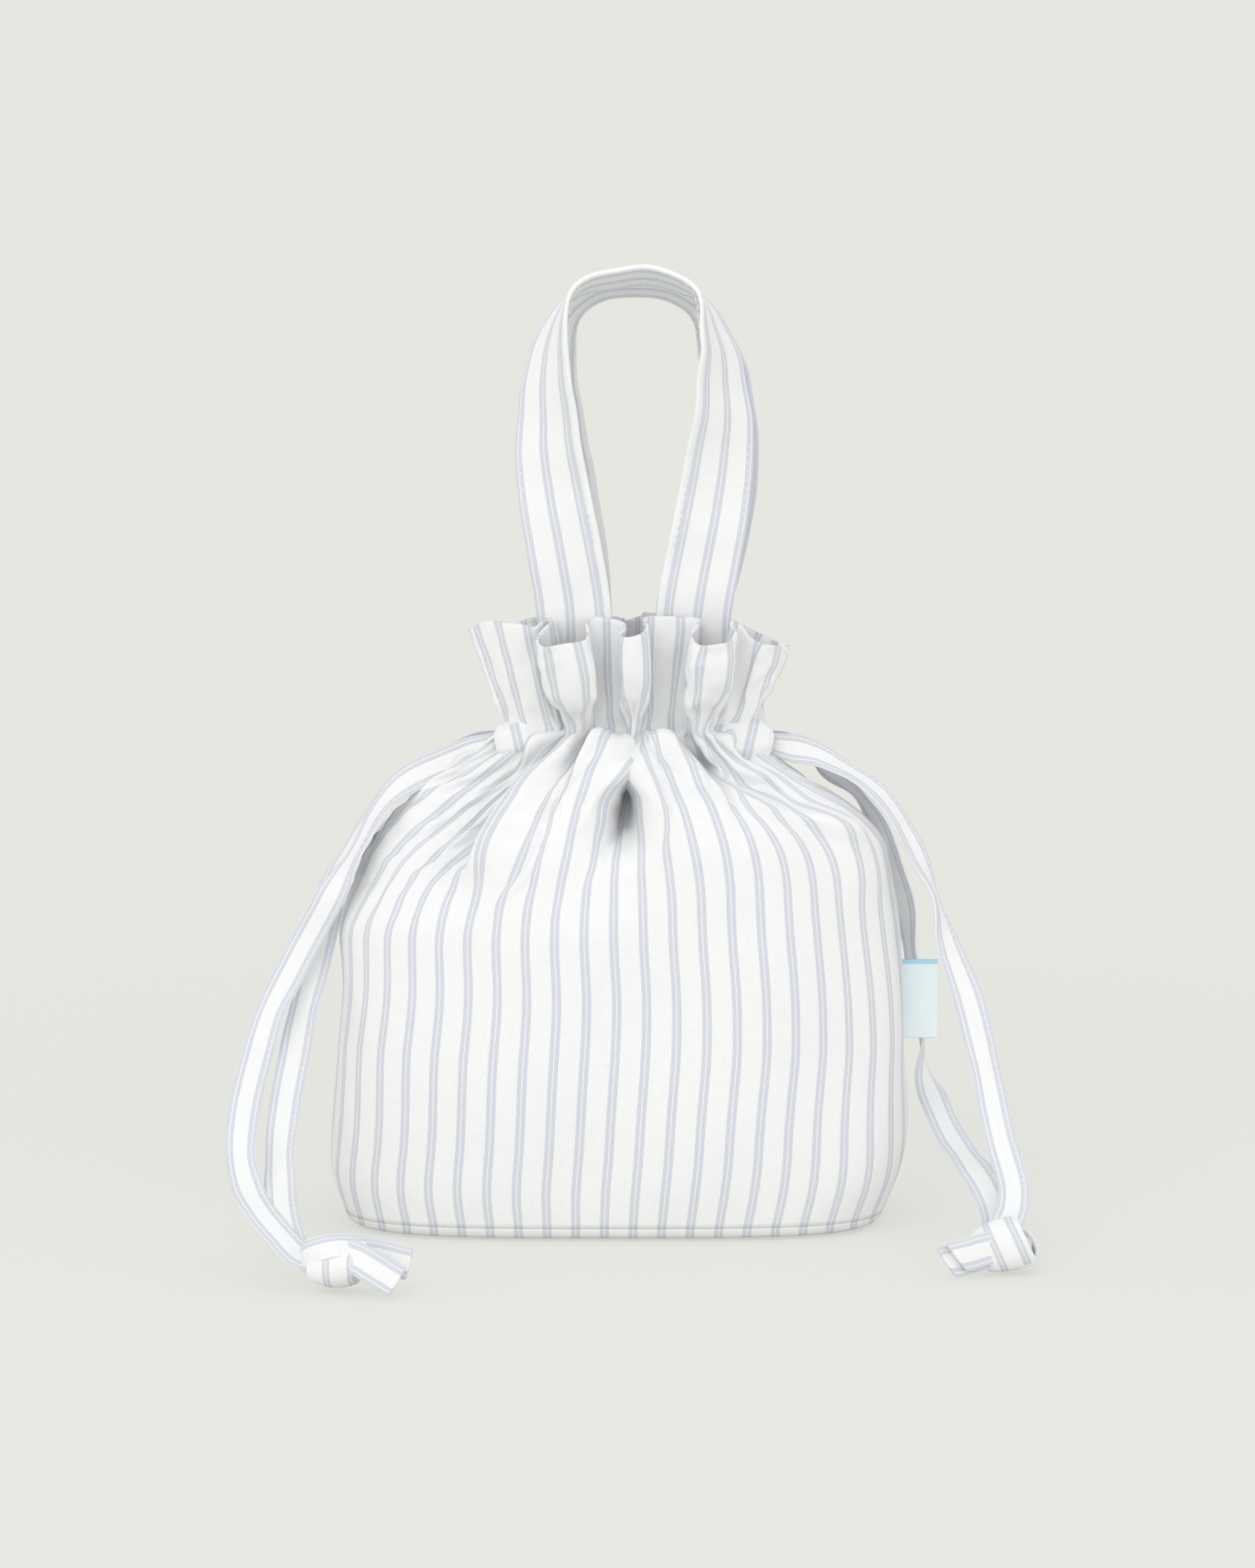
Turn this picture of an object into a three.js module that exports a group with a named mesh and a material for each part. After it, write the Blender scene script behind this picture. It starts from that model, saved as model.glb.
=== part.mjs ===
// Gathered lunch cooler bag with two strap handles and two drawstrings.
// Millimetres, +Z up, the front faces -Y, the base rests on z = 0.
import * as THREE from 'three';

// Body
const BAG_WIDTH = 220;
const BAG_DEPTH = 120;
const SEAM_HEIGHT = 5;
const BELLY_HEIGHT = 70;
const SHOULDER_HEIGHT = 130;
const BODY_TOP = 178;
const BASE_INSET = 5;

// Layers of the wall
const CLEARANCE = 0.3;
const CLOTH = 1;
const INSULATION = 4;
const LINING = 0.6;

// Gathered neck
const NECK_WIDTH = 108;
const NECK_DEPTH = 60;
const NECK_OFFSET = 6;
const NECK_SQUARENESS = 4;
const RUFFLE_HEIGHT = 54;
const RUFFLE_FLARE = 13;
const PLEAT_DEPTH = 8;
const PLEATS = 6;
const CREST_DROP = 5;
const SIDE_SLIT = 18;
const CLOSING_TRAVEL = 5;
const CASING_HEIGHT = 15;

// Handles
const STRAP_WIDTH = 29;
const STRAP_THICKNESS = 1.6;
const HANDLE_SPACING = 48;
const HANDLE_BULGE = 72;
const HANDLE_HEIGHT = 129;
const HANDLE_RISE = 5;
const HANDLE_DROP = 8;
const HANDLE_LEAN = 7;
const HANDLE_TILT = 0.12;
const SEWN_END = 46;

// Drawstrings
const TAPE_WIDTH = 11;
const TAPE_THICKNESS = 1.4;
const KNOT_LENGTH = 26;
const KNOT_DEPTH = 18;
const KNOT_HEIGHT = 18;
const TAIL_LENGTH = 15;

// Side label
const LABEL_WIDTH = 15;
const LABEL_HEIGHT = 31;
const LABEL_THICKNESS = 1.2;

// Colours
const COTTON = 0xf0f0ee;
const FOAM = 0xe8e6de;
const FOIL = 0xb9bec4;
const LABEL_BLUE = 0xdfecf0;

const FRONT = -1;
const BACK = 1;
const LEFT = -1;
const RIGHT = 1;

const group = new THREE.Group();
group.name = 'cooler_bag';

function addNode(name, geometry, colour, roughness = 0.9, metalness = 0) {
  const material = new THREE.MeshStandardMaterial({ color: colour, roughness, metalness });
  const mesh = new THREE.Mesh(geometry, material);
  mesh.name = name;
  group.add(mesh);
}

// Turn a closed triangle list into a geometry that faces outward.
function closedGeometry(points, triangles) {
  let volume = 0;
  for (const [a, b, c] of triangles) {
    volume += points[a].dot(new THREE.Vector3().crossVectors(points[b], points[c]));
  }
  const index = [];
  for (const [a, b, c] of triangles) {
    if (volume > 0) index.push(a, b, c);
    else index.push(a, c, b);
  }
  const geometry = new THREE.BufferGeometry();
  geometry.setFromPoints(points);
  geometry.setIndex(index);
  geometry.computeVertexNormals();
  return geometry;
}

// A sheet with thickness: face(u, v, side) gives a point on side 0 or side 1.
function sheetSolid(columns, rows, face) {
  const points = [];
  const triangles = [];
  const at = (i, j, side) => (side * (columns + 1) + i) * (rows + 1) + j;
  for (let side = 0; side < 2; side += 1) {
    for (let i = 0; i <= columns; i += 1) {
      for (let j = 0; j <= rows; j += 1) points.push(face(i / columns, j / rows, side));
    }
  }
  const quad = (a, b, c, d) => {
    triangles.push([a, b, c]);
    triangles.push([a, c, d]);
  };
  for (let i = 0; i < columns; i += 1) {
    for (let j = 0; j < rows; j += 1) {
      quad(at(i, j, 0), at(i + 1, j, 0), at(i + 1, j + 1, 0), at(i, j + 1, 0));
      quad(at(i, j, 1), at(i, j + 1, 1), at(i + 1, j + 1, 1), at(i + 1, j, 1));
    }
    quad(at(i, 0, 1), at(i + 1, 0, 1), at(i + 1, 0, 0), at(i, 0, 0));
    quad(at(i, rows, 0), at(i + 1, rows, 0), at(i + 1, rows, 1), at(i, rows, 1));
  }
  for (let j = 0; j < rows; j += 1) {
    quad(at(0, j, 0), at(0, j + 1, 0), at(0, j + 1, 1), at(0, j, 1));
    quad(at(columns, j, 1), at(columns, j + 1, 1), at(columns, j + 1, 0), at(columns, j, 0));
  }
  return closedGeometry(points, triangles);
}

// Closed rings joined in order, with a fan over the first and the last.
function ringSolid(rings) {
  const count = rings[0].length;
  const points = rings.flat();
  const triangles = [];
  for (let k = 0; k + 1 < rings.length; k += 1) {
    for (let i = 0; i < count; i += 1) {
      const next = (i + 1) % count;
      const a = k * count + i;
      const b = k * count + next;
      triangles.push([a, b, b + count]);
      triangles.push([a, b + count, a + count]);
    }
  }
  const fan = (first, flip) => {
    const centre = new THREE.Vector3();
    for (let i = 0; i < count; i += 1) centre.addScaledVector(points[first + i], 1 / count);
    points.push(centre);
    for (let i = 0; i < count; i += 1) {
      const a = first + i;
      const b = first + ((i + 1) % count);
      triangles.push(flip ? [b, a, points.length - 1] : [a, b, points.length - 1]);
    }
  };
  fan(0, true);
  fan((rings.length - 1) * count, false);
  return closedGeometry(points, triangles);
}

// Rounded-rectangle ring in a level plane: the angle runs right, back, left, front.
function roundedPoint(angle, halfWidth, halfDepth, squareness) {
  const c = Math.cos(angle);
  const s = Math.sin(angle);
  const power = 2 / squareness;
  const x = halfWidth * Math.sign(c) * Math.abs(c) ** power;
  const y = halfDepth * Math.sign(s) * Math.abs(s) ** power;
  return [x, y];
}

// Body section at each height: half width, half depth, squareness, its share on the sloping left, sideways offset.
const halfWidth = BAG_WIDTH / 2;
const halfDepth = BAG_DEPTH / 2;
const neckHalfWidth = NECK_WIDTH / 2;
const neckHalfDepth = NECK_DEPTH / 2;
const slope = BODY_TOP - SHOULDER_HEIGHT;
const foamTop = SHOULDER_HEIGHT + slope * 0.94;
const shoulder = (widthShare, depthShare) => ({
  width: halfWidth + (neckHalfWidth + CLOTH / 2 - halfWidth) * widthShare,
  depth: halfDepth + (neckHalfDepth + CLOTH / 2 - halfDepth) * depthShare,
});
const profile = [
  { z: SEAM_HEIGHT, width: halfWidth * 0.93, depth: halfDepth * 0.93, square: 3.4, left: 1, offset: 0 },
  { z: SEAM_HEIGHT + 14, width: halfWidth * 0.98, depth: halfDepth * 0.98, square: 3.2, left: 1, offset: 0 },
  { z: BELLY_HEIGHT, width: halfWidth, depth: halfDepth, square: 2.8, left: 1, offset: 0 },
  {
    z: (BELLY_HEIGHT + SHOULDER_HEIGHT) / 2 + 8,
    width: halfWidth * 0.99,
    depth: halfDepth * 0.97,
    square: 2.7,
    left: 1,
    offset: 0,
  },
  { z: SHOULDER_HEIGHT, ...shoulder(0.05, 0.05), square: 2.6, left: 0.95, offset: 0 },
  { z: SHOULDER_HEIGHT + slope * 0.3, ...shoulder(0.24, 0.17), square: 2.6, left: 0.76, offset: NECK_OFFSET * 0.6 },
  { z: SHOULDER_HEIGHT + slope * 0.6, ...shoulder(0.52, 0.42), square: 2.8, left: 0.75, offset: NECK_OFFSET * 1.1 },
  { z: SHOULDER_HEIGHT + slope * 0.83, ...shoulder(0.78, 0.7), square: 3, left: 0.82, offset: NECK_OFFSET * 1.1 },
  { z: foamTop, ...shoulder(0.92, 0.88), square: 3.5, left: 0.92, offset: NECK_OFFSET * 1.05 },
  { z: BODY_TOP, ...shoulder(1, 1), square: NECK_SQUARENESS, left: 1, offset: NECK_OFFSET },
];

function sectionAt(z) {
  let k = 0;
  while (k + 2 < profile.length && z > profile[k + 1].z) k += 1;
  const low = profile[k];
  const high = profile[k + 1];
  const share = (z - low.z) / (high.z - low.z);
  const mix = (key) => low[key] + (high[key] - low[key]) * share;
  const sizes = { width: mix('width'), depth: mix('depth'), square: mix('square') };
  return { ...sizes, left: mix('left'), offset: mix('offset') };
}

// Front or back half of one wall layer, from the left side seam to the right one.
function wallHalf(side, outerInset, thickness, bottom, top) {
  const inner = profile.map((row) => row.z).filter((z) => z > bottom + 1 && z < top - 1);
  const heights = [bottom, ...inner, top];
  return sheetSolid(20, heights.length - 1, (u, v, face) => {
    const z = heights[Math.round(v * (heights.length - 1))];
    const section = sectionAt(z);
    const inset = outerInset + face * thickness;
    const angle = Math.PI + Math.PI * u;
    const square = u < 0.5 ? section.square * section.left : section.square;
    const [x, y] = roundedPoint(angle, section.width - inset, section.depth - inset, square);
    const depth = Math.abs(y) + CLEARANCE / 2;
    return new THREE.Vector3(x + section.offset, side * depth, z);
  });
}

function levelRing(z, width, depth, squareness) {
  const ring = [];
  for (let i = 0; i < 40; i += 1) {
    const [x, y] = roundedPoint((i / 40) * Math.PI * 2, width, depth, squareness);
    ring.push(new THREE.Vector3(x, y, z));
  }
  return ring;
}

// Outer cloth, insulation and foil lining
const seam = profile[0];
const foamInset = CLOTH + CLEARANCE;
const liningInset = foamInset + INSULATION + CLEARANCE;
const baseFoamBottom = CLOTH + CLEARANCE;
const baseFoamTop = baseFoamBottom + INSULATION;
const liningBaseBottom = baseFoamTop + CLEARANCE;
const liningBaseTop = liningBaseBottom + LINING;
const baseWidth = seam.width - BASE_INSET;
const baseDepth = seam.depth - BASE_INSET;

for (const [name, side] of [['front', FRONT], ['back', BACK]]) {
  addNode(`outer_${name}_panel`, wallHalf(side, 0, CLOTH, SEAM_HEIGHT, BODY_TOP), COTTON);
  const foam = wallHalf(side, foamInset, INSULATION, liningBaseBottom, foamTop);
  addNode(`insulation_${name}`, foam, FOAM);
  const foil = wallHalf(side, liningInset, LINING, liningBaseTop + CLEARANCE, foamTop);
  addNode(`foil_lining_${name}`, foil, FOIL, 0.35, 0.8);
}

const rim = SEAM_HEIGHT - CLEARANCE;
addNode('outer_base_panel', ringSolid([
  levelRing(0, baseWidth, baseDepth, seam.square),
  levelRing(rim, seam.width, seam.depth, seam.square),
  levelRing(rim, seam.width - CLOTH, seam.depth - CLOTH, seam.square),
  levelRing(CLOTH, baseWidth - CLOTH * 0.4, baseDepth - CLOTH * 0.4, seam.square),
]), COTTON);
addNode('insulation_base', ringSolid([
  levelRing(baseFoamBottom, baseWidth - CLOTH - CLEARANCE, baseDepth - CLOTH - CLEARANCE, seam.square),
  levelRing(baseFoamTop, seam.width - foamInset - CLOTH, seam.depth - foamInset - CLOTH, seam.square),
]), FOAM);
addNode('foil_lining_base', ringSolid([
  levelRing(liningBaseBottom, seam.width - liningInset, seam.depth - liningInset, seam.square),
  levelRing(liningBaseTop, seam.width - liningInset, seam.depth - liningInset, seam.square),
]), FOIL, 0.35, 0.8);

// Half of a neck ring, measured along its length from the left slit to the right slit
function neckCurve(inset) {
  const width = neckHalfWidth - inset;
  const depth = neckHalfDepth - inset;
  const slit = Math.asin((SIDE_SLIT / 2 / depth) ** (NECK_SQUARENESS / 2));
  const points = [];
  for (let i = 0; i <= 40; i += 1) {
    const angle = Math.PI + slit + ((Math.PI - 2 * slit) * i) / 40;
    const [x, y] = roundedPoint(angle, width, depth, NECK_SQUARENESS);
    points.push(new THREE.Vector3(x, y, 0));
  }
  return new THREE.CatmullRomCurve3(points);
}

function onNeck(curve, u, outward, z, side) {
  const point = curve.getPointAt(u);
  const tangent = curve.getTangentAt(u);
  const x = point.x + tangent.y * outward + NECK_OFFSET;
  const y = point.y - tangent.x * outward;
  return new THREE.Vector3(x, side * Math.abs(y), z);
}

// Gathered cloth of one half of the neck, opening into the ruffle
const collarBottom = BODY_TOP + CLEARANCE;
function collarSolid(side) {
  const curve = neckCurve(0);
  const casingTop = collarBottom + CASING_HEIGHT;
  const ruffleTop = BODY_TOP + RUFFLE_HEIGHT;
  const ruffle = ruffleTop - casingTop;
  const heights = [collarBottom, collarBottom + CASING_HEIGHT / 2, casingTop];
  heights.push(casingTop + ruffle * 0.3, casingTop + ruffle * 0.65, ruffleTop);
  const flare = [0, 0, 0, 0.15, 0.75, 1];
  const gather = [0, 0.6, 0.6, 0.1, 0, 0];
  return sheetSolid(PLEATS * 8, heights.length - 1, (u, v, face) => {
    const row = Math.round(v * (heights.length - 1));
    const depth = PLEAT_DEPTH * (1 - gather[row]) * (1 + 0.5 * flare[row]);
    const valley = (1 - Math.cos(2 * Math.PI * PLEATS * u)) / 2;
    const reach = RUFFLE_FLARE * flare[row] - PLEAT_DEPTH * gather[row];
    const z = heights[row] - CREST_DROP * flare[row] ** 2 * (1 - valley);
    return onNeck(curve, u, reach - depth * valley - face * CLOTH, z, side);
  });
}

// A plain band that follows the neck inside the gathered cloth
const BAND_START = 0.06;
const BAND_STEPS = 24;
function neckBand(side, inset, thickness, bottom, top) {
  const outerCurve = neckCurve(inset);
  return sheetSolid(BAND_STEPS, 1, (u, v, face) => {
    const along = BAND_START + (1 - 2 * BAND_START) * u;
    return onNeck(outerCurve, along, -face * thickness, v > 0.5 ? top : bottom, side);
  });
}

const runInset = PLEAT_DEPTH + CLOTH + CLEARANCE;
const secondRunInset = runInset + TAPE_THICKNESS + CLEARANCE;
const facingInset = secondRunInset + TAPE_THICKNESS + CLEARANCE;
const runBottom = collarBottom + (CASING_HEIGHT - TAPE_WIDTH) / 2;
const runTop = runBottom + TAPE_WIDTH;
const sewnX = HANDLE_SPACING / 2 + STRAP_WIDTH / 2;
const facingCurve = neckCurve(facingInset);
let facingAtSewn = neckHalfDepth;
for (let i = 0; i <= BAND_STEPS; i += 1) {
  const along = BAND_START + ((1 - 2 * BAND_START) * i) / BAND_STEPS;
  const point = onNeck(facingCurve, along, -CLOTH, 0, BACK);
  const besideStrap = Math.abs(point.x - NECK_OFFSET) < sewnX + CLOTH;
  if (besideStrap) facingAtSewn = Math.min(facingAtSewn, point.y);
}
const sewnY = facingAtSewn - CLEARANCE - STRAP_THICKNESS / 2;
const hingeHeight = BODY_TOP + RUFFLE_HEIGHT + HANDLE_RISE;
const sewnTop = hingeHeight - CLEARANCE / 2;

for (const [name, side] of [['front', FRONT], ['back', BACK]]) {
  addNode(`${name}_collar`, collarSolid(side), COTTON);
  const facing = neckBand(side, facingInset, CLOTH, collarBottom, collarBottom + CASING_HEIGHT);
  addNode(`${name}_casing`, facing, COTTON);
  const leftRun = neckBand(side, runInset, TAPE_THICKNESS, runBottom, runTop);
  addNode(`left_drawstring_${name}_run`, leftRun, COTTON);
  const rightRun = neckBand(side, secondRunInset, TAPE_THICKNESS, runBottom, runTop);
  addNode(`right_drawstring_${name}_run`, rightRun, COTTON);
  for (const [end, hand] of [['left', LEFT], ['right', RIGHT]]) {
    const tab = new THREE.BoxGeometry(STRAP_WIDTH, STRAP_THICKNESS, SEWN_END);
    tab.translate(NECK_OFFSET + (hand * HANDLE_SPACING) / 2, side * sewnY, sewnTop - SEWN_END / 2);
    addNode(`${name}_handle_${end}_end`, tab, COTTON);
  }
}

// Strap loop: the legs face the front and turn on edge towards the top
const loopShape = [
  { out: HANDLE_SPACING / HANDLE_BULGE, up: 0, turn: 0 },
  { out: 0.78, up: 0.19, turn: 8 },
  { out: 0.94, up: 0.42, turn: 30 },
  { out: 1, up: 0.63, turn: 61 },
  { out: 0.88, up: 0.82, turn: 79 },
  { out: 0.5, up: 0.955, turn: 87 },
  { out: 0, up: 1, turn: 90 },
];

function handleLoop(side, height, lean) {
  const stations = [];
  for (const hand of [LEFT, RIGHT]) {
    const order = hand === LEFT ? loopShape : loopShape.slice(0, -1).reverse();
    for (const station of order) stations.push({ ...station, hand });
  }
  const half = HANDLE_BULGE / 2;
  // The loops spread towards the top, so that they still pass each other when the neck is drawn in.
  const topY = Math.max(sewnY, (STRAP_WIDTH + STRAP_THICKNESS) / 2 + CLOSING_TRAVEL + CLEARANCE);
  const path = new THREE.CatmullRomCurve3(stations.map((station) => {
    const turn = THREE.MathUtils.degToRad(station.turn);
    const x = NECK_OFFSET + station.hand * station.out * half + lean * station.up;
    const y = side * (sewnY + (topY - sewnY) * Math.sin(turn) ** 2);
    return new THREE.Vector3(x, y, hingeHeight + CLEARANCE / 2 + height * station.up);
  }));
  const widths = new THREE.CatmullRomCurve3(stations.map((station) => {
    const turn = THREE.MathUtils.degToRad(station.turn);
    const across = -station.hand * Math.cos(turn);
    return new THREE.Vector3(across, side * Math.sin(turn), -side * HANDLE_TILT * Math.sin(turn));
  }));
  return sheetSolid(44, 1, (u, v, face) => {
    const centre = path.getPoint(u);
    const tangent = path.getTangent(u);
    if (u === 0) tangent.set(0, 0, 1);
    if (u === 1) tangent.set(0, 0, -1);
    const across = widths.getPoint(u);
    across.addScaledVector(tangent, -across.dot(tangent)).normalize();
    const normal = new THREE.Vector3().crossVectors(across, tangent);
    centre.addScaledVector(across, (v - 0.5) * STRAP_WIDTH);
    return centre.addScaledVector(normal, (face - 0.5) * STRAP_THICKNESS);
  });
}

addNode('front_handle', handleLoop(FRONT, HANDLE_HEIGHT, 0), COTTON);
addNode('back_handle', handleLoop(BACK, HANDLE_HEIGHT - HANDLE_DROP, HANDLE_LEAN), COTTON);

// Free drawstring tapes: each route point is a place and the way that the tape's face looks
const knots = {
  left: { x: -95, y: -131, tails: RIGHT },
  right: { x: 139.5, y: -102, tails: LEFT },
};

// Point just outside a knot's surface in the given direction from its middle
function besideKnot(knot, dx, dy, dz) {
  const along = new THREE.Vector3(dx, dy, dz).normalize();
  const size = [KNOT_LENGTH / 2, KNOT_DEPTH / 2, KNOT_HEIGHT / 2];
  const reach = 1 / Math.hypot(along.x / size[0], along.y / size[1], along.z / size[2]) + 2 * CLEARANCE;
  const middle = KNOT_HEIGHT / 2 + CLEARANCE / 2;
  return [knot.x + along.x * reach, knot.y + along.y * reach, middle + along.z * reach];
}

const neckLeft = NECK_OFFSET - neckHalfWidth;
const neckRight = NECK_OFFSET + neckHalfWidth;
const tapeHeight = BODY_TOP + CLEARANCE + TAPE_WIDTH / 2;
const tapeSide = SIDE_SLIT / 2 - CLOSING_TRAVEL - CLEARANCE - TAPE_THICKNESS / 2;
const towardFront = [0, -1, 0.1];
const leaning = [0, -0.9, 0.4];
const upward = [0, -0.45, 0.9];

const tapeRoutes = {
  left_drawstring_front_tape: [
    [neckLeft + 16, -tapeSide, tapeHeight, towardFront],
    [neckLeft - 4, -tapeSide - 0.5, tapeHeight, towardFront],
    [neckLeft - 20, -4, 183, towardFront],
    [-81, -6, 178, towardFront],
    [-97, -10, 168, towardFront],
    [-109, -15, 148, towardFront],
    [-117, -20, 128, towardFront],
    [-125, -29, 108, towardFront],
    [-133, -42, 86, leaning],
    [-139, -60, 63, leaning],
    [-142, -80, 43, leaning],
    [-140, -97, 31, leaning],
    [-133, -112, 23, upward],
    [-123, -123, 17, upward],
    [-115, -129, 13, upward],
    [...besideKnot(knots.left, -1, 0.05, 0.16), upward],
  ],
  left_drawstring_back_tape: [
    [neckLeft + 16, tapeSide, tapeHeight, towardFront],
    [neckLeft - 4, tapeSide + 0.5, tapeHeight, towardFront],
    [neckLeft - 20, 2, 183, towardFront],
    [-81, 0, 177, towardFront],
    [-97, -4, 166, towardFront],
    [-109, -9, 146, towardFront],
    [-115, -14, 126, towardFront],
    [-118, -22, 104, towardFront],
    [-121, -36, 81, leaning],
    [-124, -54, 60, leaning],
    [-125, -75, 43, leaning],
    [-124, -94, 30, leaning],
    [-123, -112, 19, upward],
    [-119, -125, 11, upward],
    [-114, -130, 8, upward],
    [...besideKnot(knots.left, -1, 0, -0.16), upward],
  ],
  right_drawstring_front_tape: [
    [neckRight - 16, -tapeSide, tapeHeight, towardFront],
    [neckRight + 3, -tapeSide - 0.5, tapeHeight, towardFront],
    [78, -5, 181, towardFront],
    [98, -10, 168, towardFront],
    [112, -15, 150, towardFront],
    [121, -20, 131, towardFront],
    [127, -26, 111, towardFront],
    [134, -36, 88, leaning],
    [139, -49, 64, leaning],
    [143, -65, 42, leaning],
    [146.5, -79, 28, leaning],
    [144.5, -88.5, 20.5, upward],
    [...besideKnot(knots.right, 0.25, 0.66, 0.7), upward],
  ],
  right_drawstring_back_tape: [
    [neckRight - 16, tapeSide, tapeHeight, towardFront],
    [neckRight + 3, tapeSide + 0.5, tapeHeight, towardFront],
    [82, 5, 176, towardFront],
    [99, 11, 163, towardFront],
    [111, 17, 146, towardFront],
    [117, 22, 126, towardFront],
    [119, 25, 106, towardFront],
    [120, 25, 84, towardFront],
    [121, 18, 65, leaning],
    [122.5, 1, 52, leaning],
    [126, -22, 42, leaning],
    [131, -45, 34, leaning],
    [136, -65, 27, leaning],
    [138.5, -78, 19.5, upward],
    [139, -87, 13, upward],
    [...besideKnot(knots.right, -0.02, 0.93, 0.28), upward],
  ],
};

function tapeSolid(route) {
  const path = new THREE.CatmullRomCurve3(route.map(([x, y, z]) => new THREE.Vector3(x, y, z)));
  const faces = new THREE.CatmullRomCurve3(route.map(([, , , way]) => new THREE.Vector3(...way)));
  return sheetSolid(42, 1, (u, v, face) => {
    const centre = path.getPoint(u);
    const tangent = path.getTangent(u);
    const across = new THREE.Vector3().crossVectors(tangent, faces.getPoint(u)).normalize();
    const normal = new THREE.Vector3().crossVectors(across, tangent);
    centre.addScaledVector(across, (v - 0.5) * TAPE_WIDTH);
    return centre.addScaledVector(normal, (face - 0.5) * TAPE_THICKNESS);
  });
}

for (const [name, route] of Object.entries(tapeRoutes)) addNode(name, tapeSolid(route), COTTON);

// Knot that joins a string's two tapes, with the two tape ends past it
function knotSolid(x, y) {
  const knot = new THREE.SphereGeometry(0.5, 20, 12);
  knot.scale(KNOT_LENGTH, KNOT_DEPTH, KNOT_HEIGHT);
  knot.translate(x, y, KNOT_HEIGHT / 2 + CLEARANCE / 2);
  const points = [];
  const triangles = [];
  const seen = new Map();
  const position = knot.getAttribute('position');
  const merged = [];
  for (let i = 0; i < position.count; i += 1) {
    const point = new THREE.Vector3().fromBufferAttribute(position, i);
    const key = [point.x, point.y, point.z].map((value) => value.toFixed(4)).join(' ');
    if (!seen.has(key)) {
      seen.set(key, points.length);
      points.push(point);
    }
    merged.push(seen.get(key));
  }
  const index = knot.getIndex();
  for (let i = 0; i < index.count; i += 3) {
    const corner = [0, 1, 2].map((k) => merged[index.getX(i + k)]);
    if (new Set(corner).size === 3) triangles.push(corner);
  }
  return closedGeometry(points, triangles);
}

function tailSolid(start, direction, face) {
  const along = new THREE.Vector3(...direction).normalize();
  const across = new THREE.Vector3().crossVectors(along, new THREE.Vector3(...face)).normalize();
  const normal = new THREE.Vector3().crossVectors(across, along);
  return sheetSolid(4, 1, (u, v, side) => {
    const point = new THREE.Vector3(...start).addScaledVector(along, u * TAIL_LENGTH);
    point.addScaledVector(across, (v - 0.5) * TAPE_WIDTH);
    return point.addScaledVector(normal, (side - 0.5) * TAPE_THICKNESS);
  });
}

for (const [hand, { x, y, tails }] of Object.entries(knots)) {
  const name = `${hand}_drawstring`;
  addNode(`${name}_knot`, knotSolid(x, y), COTTON);
  const lowEnd = [x + tails * KNOT_LENGTH * 0.38, y - KNOT_DEPTH * 0.17, KNOT_HEIGHT * 0.13];
  addNode(`${name}_front_tail`, tailSolid(lowEnd, [tails, -0.12, -0.02], [0, -0.1, 1]), COTTON);
  const highEnd = [x + tails * KNOT_LENGTH * 0.47, y + KNOT_DEPTH * 0.3, KNOT_HEIGHT * 0.86];
  addNode(`${name}_back_tail`, tailSolid(highEnd, [tails, 0.1, -0.25], [0, -0.4, 0.9]), COTTON);
}

// Folded label caught in the right side seam
const labelMiddle = 84;
const labelEdge = sectionAt(BELLY_HEIGHT).width + CLEARANCE;
const labelFold = LABEL_THICKNESS * 0.7;
const labelShape = new THREE.Shape([
  new THREE.Vector2(0, 0),
  new THREE.Vector2(labelFold, -LABEL_THICKNESS / 2),
  new THREE.Vector2(LABEL_WIDTH, -LABEL_THICKNESS / 2),
  new THREE.Vector2(LABEL_WIDTH, LABEL_THICKNESS / 2),
  new THREE.Vector2(labelFold, LABEL_THICKNESS / 2),
]);
const label = new THREE.ExtrudeGeometry(labelShape, { depth: LABEL_HEIGHT, bevelEnabled: false });
label.translate(labelEdge, 0, labelMiddle - LABEL_HEIGHT / 2);
addNode('side_label', label, LABEL_BLUE, 0.7);

export default group;
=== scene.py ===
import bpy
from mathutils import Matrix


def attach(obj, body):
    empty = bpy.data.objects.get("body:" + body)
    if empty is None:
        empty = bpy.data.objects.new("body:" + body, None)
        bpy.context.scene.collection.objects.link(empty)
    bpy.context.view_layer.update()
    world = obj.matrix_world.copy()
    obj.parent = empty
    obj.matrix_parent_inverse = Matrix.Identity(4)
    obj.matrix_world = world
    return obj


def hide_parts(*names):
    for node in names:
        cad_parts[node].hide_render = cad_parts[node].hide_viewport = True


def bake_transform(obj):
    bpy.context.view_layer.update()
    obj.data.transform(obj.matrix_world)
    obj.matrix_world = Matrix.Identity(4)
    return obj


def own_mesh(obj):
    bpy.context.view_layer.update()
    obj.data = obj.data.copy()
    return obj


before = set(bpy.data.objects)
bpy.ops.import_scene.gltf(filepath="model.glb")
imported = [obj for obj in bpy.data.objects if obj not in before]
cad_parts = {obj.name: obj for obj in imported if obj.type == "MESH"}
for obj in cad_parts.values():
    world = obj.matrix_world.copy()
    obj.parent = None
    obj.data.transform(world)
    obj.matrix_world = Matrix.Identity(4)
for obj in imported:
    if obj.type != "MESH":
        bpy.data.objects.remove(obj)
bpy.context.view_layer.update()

import math

import bpy
import numpy as np

bl_info = {
    "name": "Gathered cooler bag",
    "version": (1, 0, 0),
    "blender": (4, 5, 0),
    "location": "View3D > Sidebar > Cooler bag",
    "description": "Dresses the frame of a gathered cooler bag in cloth, straps, drawstrings and a label",
    "category": "Object",
}

MM = 0.001
FRONT, BACK = -1, 1
LEFT, RIGHT = -1, 1
SIDE_NAMES = {FRONT: "front", BACK: "back"}
HAND_NAMES = {LEFT: "left", RIGHT: "right"}

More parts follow.
